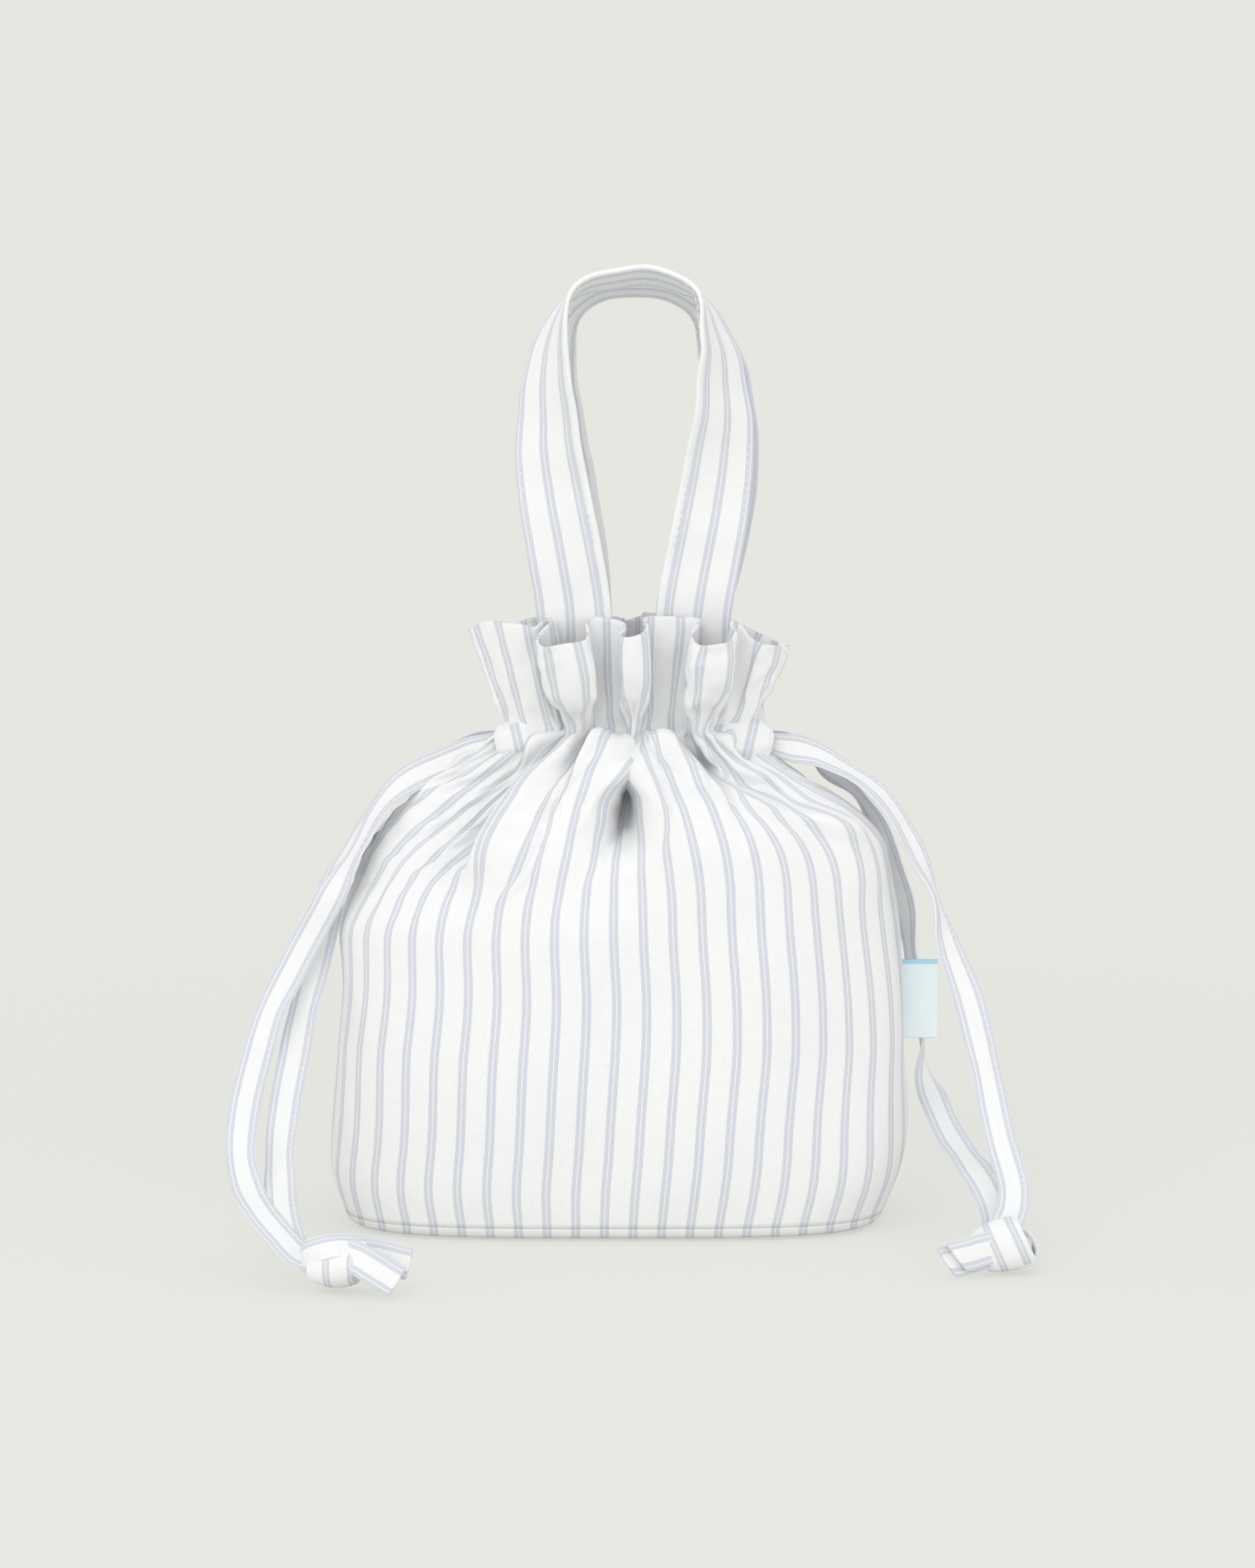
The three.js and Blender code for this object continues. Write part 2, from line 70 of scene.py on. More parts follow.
# Cloth grid: columns run from the left seam to the right seam, rows run up
COLUMNS = 96
BODY_ROWS = 26
SHOULDER_ROWS = 24
RUFFLE_ROWS = 13
CINCH_ROW = BODY_ROWS + SHOULDER_ROWS
SLIT_ROW = CINCH_ROW - 5

# Heights and cloth lengths in millimetres
SEAM_Z = 4.8
SHOULDER_Z = 126.0
CINCH_Z = 190.0
SHOULDER_LENGTH = 88.0
RUFFLE_LENGTH = 46.0
CLOTH_WIDTH = 288.0
NECK_X = 6.0

# Rows of the cloth grid: heights on the body and shares of the way above it
BODY_HEIGHTS = np.linspace(SEAM_Z, SHOULDER_Z, BODY_ROWS + 1)
SHOULDER_SHARES = np.linspace(0, 1, SHOULDER_ROWS + 1)[1:]
RUFFLE_SHARES = np.linspace(0, 1, RUFFLE_ROWS + 1)[1:]

# Where the rows and columns of the grid lie on the flat cloth
FLAT_HEIGHTS = np.concatenate([
    BODY_HEIGHTS,
    SHOULDER_Z + SHOULDER_LENGTH * SHOULDER_SHARES,
    SHOULDER_Z + SHOULDER_LENGTH + RUFFLE_LENGTH * RUFFLE_SHARES,
])
FLAT_PLACES = (np.arange(COLUMNS + 1) / COLUMNS - 0.5) * CLOTH_WIDTH

# Body sections: height, half width at the left, half width at the right, half depth, squareness
SECTIONS = np.array([
    [5, 107.0, 103.5, 56.5, 3.7],
    [19, 111.8, 109.6, 59.0, 3.4],
    [33, 112.5, 113.0, 59.8, 3.1],
    [65, 110.0, 111.6, 60.0, 2.75],
    [92, 107.6, 110.8, 59.0, 2.6],
    [115, 109.4, 110.0, 58.0, 2.45],
    [130, 108.0, 108.8, 57.5, 2.4],
])

# Ruffle of the front half seen from above: end flaps, two open loops and a narrow pleat between
RUFFLE_PLAN = [
    (-58, -12), (-50, -21), (-41, -27), (-34, -27), (-29, -20), (-26.5, -14),
    (-25, -17), (-29, -27), (-31.5, -37), (-28, -44), (-20, -46), (-12.5, -43), (-10.5, -33), (-12.5, -21),
    (-9, -14.5), (-4, -18), (0, -19.5), (2, -26), (0.5, -36), (3.5, -42), (9.5, -41), (12, -33), (10, -22),
    (12, -15), (18, -15.5), (25, -16.5), (29.5, -15), (31, -20), (27.5, -31), (28.5, -40), (35, -44.5),
    (43, -42), (46, -33), (43.5, -22), (45, -15), (50, -20), (56.5, -24.5), (63, -20), (66.5, -11.5),
]
FOLD_CENTRES = np.array([-20.0, 6.0, 37.0])
VALLEY_Y = -12.8
FOLD_Y = -15
FOLD_DEPTH = 24
FOLD_HALF_WIDTH = 15
BACK_FOLD_DEPTH = 0.65

# Shares of the ruffle's size that are left at the drawstring
CINCHED_WIDTH = 0.79
CINCHED_DEPTH = 0.28
CINCHED_FOLD = 0.7

# Swells and dips across the cloth: height, middle and spread of each
SHOULDER_LOBES = [(14, -32, 20), (13, 33, 20), (4, 104, 12), (-9, 88, 7)]
FRONT_LOBES = [(12, -59, 7), (-24, -77, 8)]
GATHER_PUFFS = [(1, -104, 8), (1, -29, 8), (1, 38, 11), (1, 116, 8)]
PLEAT_SIDES = [(9, -18, 9), (9, 18, 9)]
PLEAT_LIPS = [(1, -11, 6), (-1, 11, 6)]
FRONT_TURN = [(1, -77, 7), (-1, -61, 7)]
SLANTED_CREASE = [(6, 0, 0.09), (-8, 0.16, 0.09)]
HELD_FOLDS = [(0.92, 0, 12), (0.95, -68, 10), (0.75, 60, 6)]

# Tape routes in metres: place and the way that the tape's face looks
TOWARD_FRONT = (0, -1, 0.1)
LIFTED = (-0.2, -0.85, 0.5)
TURNED_LEFT = (-0.75, -0.6, 0.3)
TURNED_UP = (0.42, 0.55, 0.72)
TURNED_RIGHT = (0.72, 0.58, 0.38)
LEANING = (0, -0.9, 0.4)
UPWARD = (0, -0.45, 0.9)
TAPE_ROUTES = {
    "left_drawstring_front_tape": [
        ((-0.0215, -0.0098, 0.1893), TOWARD_FRONT),
        ((-0.034, -0.0100, 0.1880), TOWARD_FRONT), ((-0.043, -0.0102, 0.1860), TOWARD_FRONT),
        ((-0.052, -0.0103, 0.1838), TOWARD_FRONT), ((-0.0655, -0.0095, 0.1785), TOWARD_FRONT),
        ((-0.0813, -0.010, 0.1710), LIFTED), ((-0.0923, -0.013, 0.1598), TURNED_LEFT),
        ((-0.1006, -0.017, 0.1457), TURNED_LEFT), ((-0.1085, -0.020, 0.131), (-0.45, -0.88, 0.15)),
        ((-0.1163, -0.024, 0.117), TOWARD_FRONT), ((-0.1246, -0.031, 0.101), TOWARD_FRONT),
        ((-0.1328, -0.043, 0.083), LEANING), ((-0.1382, -0.060, 0.061), LEANING),
        ((-0.1392, -0.080, 0.042), LEANING), ((-0.1350, -0.097, 0.030), LEANING),
        ((-0.1278, -0.112, 0.0225), UPWARD), ((-0.1195, -0.123, 0.017), UPWARD),
        ((-0.1135, -0.129, 0.013), UPWARD), ((-0.1082, -0.1303, 0.0113), UPWARD),
        ((-0.102, -0.1305, 0.0100), UPWARD),
    ],
    "left_drawstring_back_tape": [
        ((-0.0215, 0.0098, 0.1893), TOWARD_FRONT),
        ((-0.034, 0.0100, 0.1880), TOWARD_FRONT), ((-0.043, 0.0102, 0.1860), TOWARD_FRONT),
        ((-0.052, 0.0103, 0.1838), TOWARD_FRONT), ((-0.0655, 0.004, 0.1780), TOWARD_FRONT),
        ((-0.0813, 0.001, 0.1705), LIFTED), ((-0.0940, -0.003, 0.1590), TURNED_LEFT),
        ((-0.1045, -0.006, 0.145), TURNED_LEFT), ((-0.1110, -0.011, 0.128), (-0.45, -0.88, 0.15)),
        ((-0.1155, -0.018, 0.108), TOWARD_FRONT), ((-0.1205, -0.033, 0.084), LEANING),
        ((-0.1240, -0.051, 0.062), LEANING), ((-0.1250, -0.072, 0.044), LEANING),
        ((-0.1235, -0.092, 0.0305), LEANING), ((-0.1205, -0.110, 0.0210), UPWARD),
        ((-0.1160, -0.1235, 0.0150), UPWARD), ((-0.1115, -0.129, 0.0120), UPWARD),
        ((-0.1075, -0.131, 0.0102), UPWARD), ((-0.102, -0.131, 0.0090), UPWARD),
    ],
    "right_drawstring_front_tape": [
        ((0.0335, -0.0098, 0.1893), TOWARD_FRONT),
        ((0.046, -0.0100, 0.1880), TOWARD_FRONT), ((0.055, -0.0102, 0.1860), TOWARD_FRONT),
        ((0.064, -0.0103, 0.1842), TOWARD_FRONT), ((0.079, -0.008, 0.1800), (0.25, -0.65, 0.7)),
        ((0.099, -0.011, 0.1675), (0.48, -0.5, 0.72)), ((0.1120, -0.015, 0.1505), (0.64, -0.45, 0.62)),
        ((0.1198, -0.020, 0.132), (0.84, -0.35, 0.4)), ((0.1262, -0.026, 0.111), (0.6, -0.75, 0.25)),
        ((0.134, -0.036, 0.088), (0.15, -0.97, 0.2)), ((0.139, -0.049, 0.064), LEANING),
        ((0.1425, -0.065, 0.042), LEANING), ((0.146, -0.079, 0.028), LEANING),
        ((0.1448, -0.0885, 0.0205), UPWARD), ((0.1419, -0.0955, 0.0161), UPWARD),
        ((0.1398, -0.1000, 0.0125), UPWARD),
    ],
    "right_drawstring_back_tape": [
        ((0.0335, 0.0098, 0.1893), TOWARD_FRONT),
        ((0.046, 0.0100, 0.1880), TOWARD_FRONT), ((0.055, 0.0102, 0.1860), TOWARD_FRONT),
        ((0.064, 0.0103, 0.1838), TOWARD_FRONT), ((0.081, 0.006, 0.1745), (0.3, 0.4, 0.8)),
        ((0.0970, 0.013, 0.1605), TURNED_UP), ((0.1072, 0.019, 0.1405), TURNED_RIGHT),
        ((0.1122, 0.0225, 0.123), (0.78, 0.62, 0.12)), ((0.1158, 0.0245, 0.106), (0.78, 0.62, 0.02)),
        ((0.1195, 0.0245, 0.084), (0.88, 0.45, 0.02)), ((0.1208, 0.0165, 0.0635), (0.95, -0.1, 0.2)),
        ((0.1222, 0.002, 0.0505), (0.55, -0.55, 0.6)), ((0.1255, -0.020, 0.0395), (0.15, -0.75, 0.65)),
        ((0.1310, -0.045, 0.0315), LEANING), ((0.1365, -0.066, 0.0250), LEANING),
        ((0.1390, -0.078, 0.0190), UPWARD), ((0.1396, -0.0870, 0.0132), UPWARD),
        ((0.1393, -0.0935, 0.0115), UPWARD), ((0.1392, -0.0985, 0.0105), UPWARD),
    ],
}


# Geometry

def unit(vectors):
    return vectors / np.linalg.norm(vectors, axis=-1, keepdims=True)


def length_along(points):
    steps = np.linalg.norm(np.diff(points, axis=0), axis=1)
    return np.concatenate([[0.0], np.cumsum(steps)])


def read_at(values, along, where):
    """Rows of values along a line, read at other places on it."""
    return np.stack([np.interp(where, along, values[:, k]) for k in range(values.shape[1])], axis=1)


def even_steps(points, count):
    """The same line with points at equal steps."""
    along = length_along(points)
    return read_at(points, along, np.linspace(0, along[-1], count))


def smooth_path(points, count):
    """Points on a smooth curve through the given ones."""
    points = np.asarray(points, float)
    ends = np.vstack([2 * points[0] - points[1], points, 2 * points[-1] - points[-2]])
    at = np.linspace(0, len(points) - 1, count)
    k = np.minimum(at.astype(int), len(points) - 2)
    t = (at - k)[:, None]
    p0, p1, p2, p3 = (ends[k + i] for i in range(4))
    cubic = 3 * p1 - p0 - 3 * p2 + p3
    square = 2 * p0 - 5 * p1 + 4 * p2 - p3
    return 0.5 * (2 * p1 + (p2 - p0) * t + square * t ** 2 + cubic * t ** 3)


def smooth_value(keys, values, at):
    """A smooth curve through values at rising keys, read at one place."""
    slope = np.gradient(values, keys)
    k = int(np.clip(np.searchsorted(keys, at) - 1, 0, len(keys) - 2))
    step = keys[k + 1] - keys[k]
    t = (at - keys[k]) / step
    start = (1 + 2 * t) * (1 - t) ** 2 * values[k] + t * (1 - t) ** 2 * step * slope[k]
    return start + t ** 2 * (3 - 2 * t) * values[k + 1] + t ** 2 * (t - 1) * step * slope[k + 1]


def bell(places, middle, spread):
    return np.exp(-((places - middle) / spread) ** 2)


def bells(places, rows):
    """Sum of several bells, given as height, middle and spread."""
    return sum(height * bell(places, middle, spread) for height, middle, spread in rows)


def eased(share):
    """Smooth step from 0 to 1."""
    share = np.clip(share, 0, 1)
    return share * share * (3 - 2 * share)


def section_at(z):
    return [smooth_value(SECTIONS[:, 0], SECTIONS[:, k], z) for k in range(1, 5)]


def half_ring(left, right, depth, square, side):
    """Front or back half of a rounded ring, at equal steps from the left seam to the right one."""
    angle = np.linspace(np.pi, 2 * np.pi, 1441)
    c, s = np.cos(angle), np.sin(angle)
    x = np.where(c < 0, left, right) * np.sign(c) * np.abs(c) ** (2 / square)
    y = side * depth * np.abs(s) ** (2 / square)
    return even_steps(np.stack([x, y], axis=1), COLUMNS + 1)


def whole_ring(left, right, depth, square):
    """Both halves of a rounded ring, joined into one loop."""
    front, back = (half_ring(left, right, depth, square, side) for side in (FRONT, BACK))
    return np.vstack([front, back[-2:0:-1]])


def grid_faces(rows, columns, closed=False, flip=False):
    """Quads of a grid of points, row by row."""
    faces = []
    for r in range(rows - 1):
        for c in range(columns if closed else columns - 1):
            following = (c + 1) % columns
            face = (r * columns + c, r * columns + following,
                    (r + 1) * columns + following, (r + 1) * columns + c)
            faces.append(face[::-1] if flip else face)
    return faces


def tube_faces(rows, ring):
    """Quads round a closed tube, and one face over each of its ends."""
    faces = grid_faces(rows, ring, closed=True)
    faces.append(tuple(range(ring))[::-1])
    faces.append(tuple(range((rows - 1) * ring, rows * ring)))
    return faces


def grid_normals(grid):
    """Way that a grid of points faces at each point."""
    return unit(np.cross(np.gradient(grid, axis=1), np.gradient(grid, axis=0)))


def add_piece(name, points, faces, places, finish):
    """New object from points and cloth places in millimetres."""
    mesh = bpy.data.meshes.new(name)
    mesh.from_pydata((points * MM).tolist(), [], faces)
    mesh.shade_smooth()
    attribute = mesh.attributes.new("cloth", "FLOAT_VECTOR", "POINT")
    attribute.data.foreach_set("vector", (places * MM).ravel())
    mesh.materials.append(finish)
    piece = bpy.data.objects.new(name, mesh)
    bpy.context.scene.collection.objects.link(piece)
    return piece


def keep_shape(piece):
    """Puts what the modifiers make into the mesh itself."""
    graph = bpy.context.evaluated_depsgraph_get()
    shaped = piece.evaluated_get(graph)
    mesh = bpy.data.meshes.new_from_object(shaped, preserve_all_data_layers=True, depsgraph=graph)
    mesh.name = piece.name
    piece.modifiers.clear()
    piece.data = mesh


def add_rounding(piece):
    smooth = piece.modifiers.new("round", "SUBSURF")
    smooth.levels = 1
    smooth.render_levels = 1
    smooth.boundary_smooth = "PRESERVE_CORNERS"


def round_off(piece):
    """Rounds a closed form off."""
    add_rounding(piece)
    keep_shape(piece)


def thicken(piece, thickness, offset=-1):
    """Rounds a sheet off and gives it thickness in millimetres, all of it behind its face at offset -1."""
    add_rounding(piece)
    layer = piece.modifiers.new("thickness", "SOLIDIFY")
    layer.thickness = thickness * MM
    layer.offset = offset
    keep_shape(piece)


class Lump:
    """Points, faces and cloth places of several forms that make one piece."""

    def __init__(self):
        self.points = []
        self.faces = []
        self.places = []
        self.count = 0

    def add(self, points, faces, places):
        self.points.append(points)
        self.faces.extend(tuple(int(i) + self.count for i in face) for face in faces)
        self.places.append(places)
        self.count += len(points)

    def piece(self, name, finish):
        points = np.concatenate(self.points)
        return add_piece(name, points, self.faces, np.concatenate(self.places), finish)


def band_form(centres, across, section, shift=0.0, stretch=1.0, bow=0.0, slant=0.0, gather=1.0):
    """Closed flat band along a line, from offsets across and half thicknesses. Bow lifts its middle."""
    tangent = unit(np.gradient(centres, axis=0))
    across = unit(across - tangent * (across * tangent).sum(axis=1, keepdims=True))
    facing = np.cross(across, tangent)
    offset = np.array([o for o, _ in section] + [o for o, _ in reversed(section)], float)
    lift = np.array([h for _, h in section] + [-h for _, h in reversed(section)], float)
    lift += bow * (1 - (offset / np.abs(offset).max()) ** 2)
    sideways = (across[:, None] + tangent[:, None] * slant) * np.reshape(gather, (-1, 1, 1))
    points = centres[:, None] + sideways * offset[None, :, None] + facing[:, None] * lift[None, :, None]
    rows, ring = points.shape[:2]
    along = np.repeat(length_along(centres), ring)
    places = np.column_stack([np.tile(offset * stretch + shift, rows), along, np.zeros(rows * ring)])
    return points.reshape(-1, 3), tube_faces(rows, ring), places


# One thread along its length: place, girth and height, as shares of its length and radius
THREAD_PLACES = np.array([-0.5, -0.34, 0.0, 0.34, 0.5])
THREAD_GIRTH = np.array([0.25, 0.8, 1.0, 0.8, 0.25])
THREAD_HEIGHT = np.array([-0.9, 0.1, 0.45, 0.1, -0.9])
THREAD_RING = 6


def stitch_form(line, facing, spacing, length, radius):
    """Short threads sunk into the cloth along a line."""
    along = length_along(line)
    middles = np.arange(spacing, along[-1] - spacing / 2, spacing)
    turn = np.arange(THREAD_RING) * math.pi / (THREAD_RING / 2)
    thread_faces = tube_faces(len(THREAD_PLACES), THREAD_RING)
    points, faces = [], []
    for middle in middles:
        where = middle + THREAD_PLACES * length
        spine = read_at(line, along, where)
        up = unit(read_at(facing, along, where))
        way = unit(np.gradient(spine, axis=0))
        aside = np.cross(way, up)
        spine = spine + up * (THREAD_HEIGHT * radius)[:, None]
        ring = np.cos(turn)[None, :, None] * aside[:, None] + np.sin(turn)[None, :, None] * up[:, None]
        first = len(points) * len(THREAD_PLACES) * THREAD_RING
        points.append((spine[:, None] + ring * (THREAD_GIRTH * radius)[:, None, None]).reshape(-1, 3))
        faces.extend(tuple(first + i for i in face) for face in thread_faces)
    points = np.concatenate(points)
    return points, faces, np.column_stack([points[:, 0], points[:, 2], points[:, 1]])


# Finishes

class Wire:
    """A shader socket that takes part in Python arithmetic."""

    def __init__(self, paint, socket):
        self.paint = paint
        self.socket = socket

    def math(self, operation, *values):
        return self.paint.node("ShaderNodeMath", {"operation": operation}, values)

    def __add__(self, other):
        return self.math("ADD", self, other)

    __radd__ = __add__

    def __sub__(self, other):
        return self.math("SUBTRACT", self, other)

    def __rsub__(self, other):
        return self.math("SUBTRACT", other, self)

    def __mul__(self, other):
        return self.math("MULTIPLY", self, other)

    __rmul__ = __mul__

    def __truediv__(self, other):
        return self.math("DIVIDE", self, other)

    def size(self):
        return self.math("ABSOLUTE", self)

    def wave(self):
        return self.math("SINE", self)

    def part(self):
        return self.math("FRACT", self)

    def larger(self, other):
        return self.math("MAXIMUM", self, other)

    def clipped(self):
        return self.paint.node("ShaderNodeClamp", {}, {"Value": self})

    def output(self, name):
        return Wire(self.paint, self.socket.node.outputs[name])


class Paint:
    """Node tree of one finish."""

    def __init__(self, name):
        self.material = bpy.data.materials.new(name)
        self.material.use_nodes = True
        self.tree = self.material.node_tree
        self.tree.nodes.clear()

    def node(self, kind, settings, sockets, output=0):
        node = self.tree.nodes.new(kind)
        for key, value in settings.items():
            setattr(node, key, value)
        for key, value in (sockets.items() if isinstance(sockets, dict) else enumerate(sockets)):
            if isinstance(value, Wire):
                self.tree.links.new(value.socket, node.inputs[key])
            else:
                node.inputs[key].default_value = value
        return Wire(self, node.outputs[output])

    def cloth_place(self):
        """Where a point lies on the flat cloth."""
        return self.node("ShaderNodeAttribute", {"attribute_name": "cloth"}, {}, "Vector")

    def mix(self, first, second, share):
        settings = {"data_type": "RGBA"}
        return self.node("ShaderNodeMix", settings, {0: share, 6: first, 7: second}, 2)

    def noise(self, place, scale, detail=2.0, roughness=0.5):
        sockets = {"Vector": place, "Scale": scale, "Detail": detail, "Roughness": roughness}
        return self.node("ShaderNodeTexNoise", {}, sockets)

    def stretched(self, place, factors):
        return self.node("ShaderNodeVectorMath", {"operation": "MULTIPLY"}, [place, factors])

    def bump(self, height, strength, distance):
        sockets = {"Height": height, "Strength": strength, "Distance": distance}
        return self.node("ShaderNodeBump", {}, sockets)

    def finish(self, sockets):
        shader = self.node("ShaderNodeBsdfPrincipled", {}, sockets)
        self.node_output(shader)
        return self.material

    def node_output(self, shader):
        end = self.tree.nodes.new("ShaderNodeOutputMaterial")
        self.tree.links.new(shader.socket, end.inputs["Surface"])


def solid(colour):
    return (*colour, 1.0)


# Turns of the weave in radians for each metre of cloth
WARP_TURNS = 9800
WEFT_TURNS = 10400
TWILL_TURNS = (9000, 7800)
RIB_TURNS = 12000

# Soft edge of a line and the label's edge line in metres
LINE_SOFTNESS = 0.0003
BORDER_WIDTH = 0.0017


def striped_cotton(sizes):
    """White plain weave with pairs of fine twill lines."""
    paint = Paint("double_striped_cotton")
    place = paint.cloth_place()
    across = paint.node("ShaderNodeSeparateXYZ", {}, [place], "X")
    along = across.output("Y")
    pitch = sizes.stripe_pitch
    beside = ((across / pitch + 0.5).part() - 0.5) * pitch
    edge = (beside.size() - sizes.line_spacing / 2).size()
    line = ((sizes.line_width / 2 - edge) / LINE_SOFTNESS + 0.5).clipped()
    twill = (across * TWILL_TURNS[0] + along * TWILL_TURNS[1]).wave() * 0.5 + 0.5
    slub = paint.noise(paint.stretched(place, (1.0, 0.12, 1.0)), scale=900, detail=3)
    weft = paint.noise(paint.stretched(place, (0.1, 1.0, 1.0)), scale=1100, detail=3)
    cloud = paint.noise(place, scale=45, detail=3)
    dotted = line * (0.68 + 0.32 * twill)
    shaded = (cloud * 0.4 + slub * 0.8 + weft * 0.8 - 0.5).clipped()
    white = paint.mix(solid(sizes.cotton_colour), solid(sizes.cotton_shade), shaded)
    colour = paint.mix(white, solid(sizes.stripe_colour), dotted)
    threads = (across * WARP_TURNS).wave() * (along * WEFT_TURNS).wave()
    height = threads * 0.35 + slub * 0.8 + weft * 0.8 + twill * line * 0.3
    return paint.finish({
        "Base Color": colour,
        "Roughness": 0.86 + 0.1 * slub,
        "Specular IOR Level": 0.25,
        "Sheen Weight": 0.12,
        "Sheen Roughness": 0.5,
        "Normal": paint.bump(height, strength=0.35, distance=0.0002),
    })


def sewing_thread(sizes):
    paint = Paint("sewing_thread")
    place = paint.cloth_place()
    strands = paint.noise(place, scale=4000)
    colour = paint.mix(solid(sizes.thread_colour), solid(sizes.cotton_shade), strands * 0.6)
    return paint.finish({
        "Base Color": colour,
        "Roughness": 0.6,
        "Normal": paint.bump(strands, strength=0.3, distance=0.0001),
    })


def label_satin(sizes):
    """Pale woven ribbon with a deeper line along its upper edge."""
    paint = Paint("label_satin")
    place = paint.cloth_place()
    across = paint.node("ShaderNodeSeparateXYZ", {}, [place], "X")
    along = across.output("Y")
    border = ((across - (sizes.label_height - BORDER_WIDTH)) / LINE_SOFTNESS + 0.5).clipped()
    ribs = (along * RIB_TURNS).wave() * 0.5 + 0.5
    cloud = paint.noise(place, scale=160, detail=3)
    ground = paint.mix(solid(sizes.label_colour), (0.90, 0.95, 0.96, 1), cloud * 0.7)
    colour = paint.mix(ground, solid(sizes.label_border), border * 0.8)
    return paint.finish({
        "Base Color": colour,
        "Roughness": 0.42 + 0.2 * cloud,
        "Sheen Weight": 0.1,
        "Normal": paint.bump(ribs * 0.5 + cloud, strength=0.2, distance=0.0001),
    })


def foil_lining(sizes):
    paint = Paint("foil_lining")
    place = paint.cloth_place()
    creases = paint.noise(place, scale=120, detail=5, roughness=0.65)
    fine = paint.noise(place, scale=700, detail=3)
    colour = paint.mix(solid(sizes.foil_colour), (0.82, 0.83, 0.85, 1), creases)
    return paint.finish({
        "Base Color": colour,
        "Metallic": 0.85,
        "Roughness": 0.28 + 0.25 * creases,
        "Normal": paint.bump(creases + fine * 0.2, strength=0.5, distance=0.002),
    })


def foam_sheet(sizes):
    paint = Paint("foam_sheet")
    place = paint.cloth_place()
    cells = paint.node("ShaderNodeTexVoronoi", {}, {"Vector": place, "Scale": 900}, "Distance")
    cloud = paint.noise(place, scale=60)
    colour = paint.mix(solid(sizes.foam_colour), (0.72, 0.71, 0.67, 1), cells * 0.5 + cloud * 0.3)
    return paint.finish({
        "Base Color": colour,
        "Roughness": 0.9,
        "Normal": paint.bump(cells, strength=0.4, distance=0.0004),
    })


def pale_floor(sizes):
    """Floor that shows the backdrop's colour and keeps part of the shadow."""
    paint = Paint("pale_floor")
    place = paint.node("ShaderNodeTexCoord", {}, {}, "Object")
    grain = paint.noise(place, scale=6)
    shade = paint.mix(solid(sizes.backdrop_colour), (0.77, 0.78, 0.735, 1), grain * 0.4)
    lit = paint.node("ShaderNodeBsdfPrincipled", {}, {"Base Color": shade, "Roughness": 0.9})
    glow = paint.node("ShaderNodeEmission", {}, {"Color": solid(sizes.backdrop_colour), "Strength": 1.0})
    rays = paint.node("ShaderNodeLightPath", {}, {}, "Is Camera Ray")
    seen = rays.larger(rays.output("Is Glossy Ray")).larger(rays.output("Is Transmission Ray"))
    away = paint.node("ShaderNodeVectorMath", {"operation": "LENGTH"}, [place], "Value")
    share = ((away - 0.25) / 0.7).clipped() * 0.3 + 0.7
    paint.node_output(paint.node("ShaderNodeMixShader", {}, [seen * share, lit, glow]))
    return paint.material


FINISHES = {
    "double_striped_cotton": striped_cotton,
    "sewing_thread": sewing_thread,
    "label_satin": label_satin,
    "foil_lining": foil_lining,
    "foam_sheet": foam_sheet,
    "pale_floor": pale_floor,
}


def finish_named(name):
    """The finish of that name, made the first time that it is asked for."""
    made = bpy.data.materials.get(name)
    return made or FINISHES[name](bpy.context.scene.cooler_bag)


# Gathered cloth

def neck_lines(side):
    """Drawn-in line and top edge of half the ruffle from above, and how far each column is in a fold."""
    plan = np.array(RUFFLE_PLAN, float)
    centres = FOLD_CENTRES
    if side == BACK:
        plan = plan[::-1] * (-1, 1) + (2 * NECK_X, 0)
        plan[:, 1] = VALLEY_Y + BACK_FOLD_DEPTH * (plan[:, 1] - VALLEY_Y)
        centres = 2 * NECK_X - FOLD_CENTRES
    top = even_steps(smooth_path(plan, 2000), COLUMNS + 1)
    nearest = centres[np.abs(top[:, :1] - centres[None, :]).argmin(axis=1)]
    apart = nearest - top[:, 0]
    fold = np.clip((FOLD_Y - top[:, 1]) / FOLD_DEPTH, 0, 1) * eased((FOLD_HALF_WIDTH - np.abs(apart)) / 3)
    pinched = top[:, 0] + CINCHED_FOLD * fold * apart
    cinch = np.column_stack([
        NECK_X + CINCHED_WIDTH * (pinched - NECK_X),
        VALLEY_Y + CINCHED_DEPTH * (top[:, 1] - VALLEY_Y),
    ])
    if side == BACK:
        top[:, 1] *= -1
        cinch[:, 1] *= -1
    return cinch, top, fold, apart


def body_rows(side):
    """Faintly dented rows from the base seam to the shoulder, the last ring and the way out of it."""
    place = FLAT_PLACES
    rows = []
    for z in BODY_HEIGHTS:
        ring = half_ring(*section_at(z), side)
        tangent = unit(np.gradient(ring, axis=0))
        outward = np.stack([tangent[:, 1], -tangent[:, 0]], axis=1) * -side
        dents = np.sin(place / 21 + z / 37 + side) * np.sin(z / 17 - place / 43)
        dents += 0.6 * np.sin(place / 11 - z / 29)
        dents *= 0.8 * eased((z - SEAM_Z) / 20) * (1 - bell(np.abs(place), CLOTH_WIDTH / 2, 12))
        rows.append(np.column_stack([ring + outward * dents[:, None], np.full(len(ring), z)]))
    return rows, ring, outward


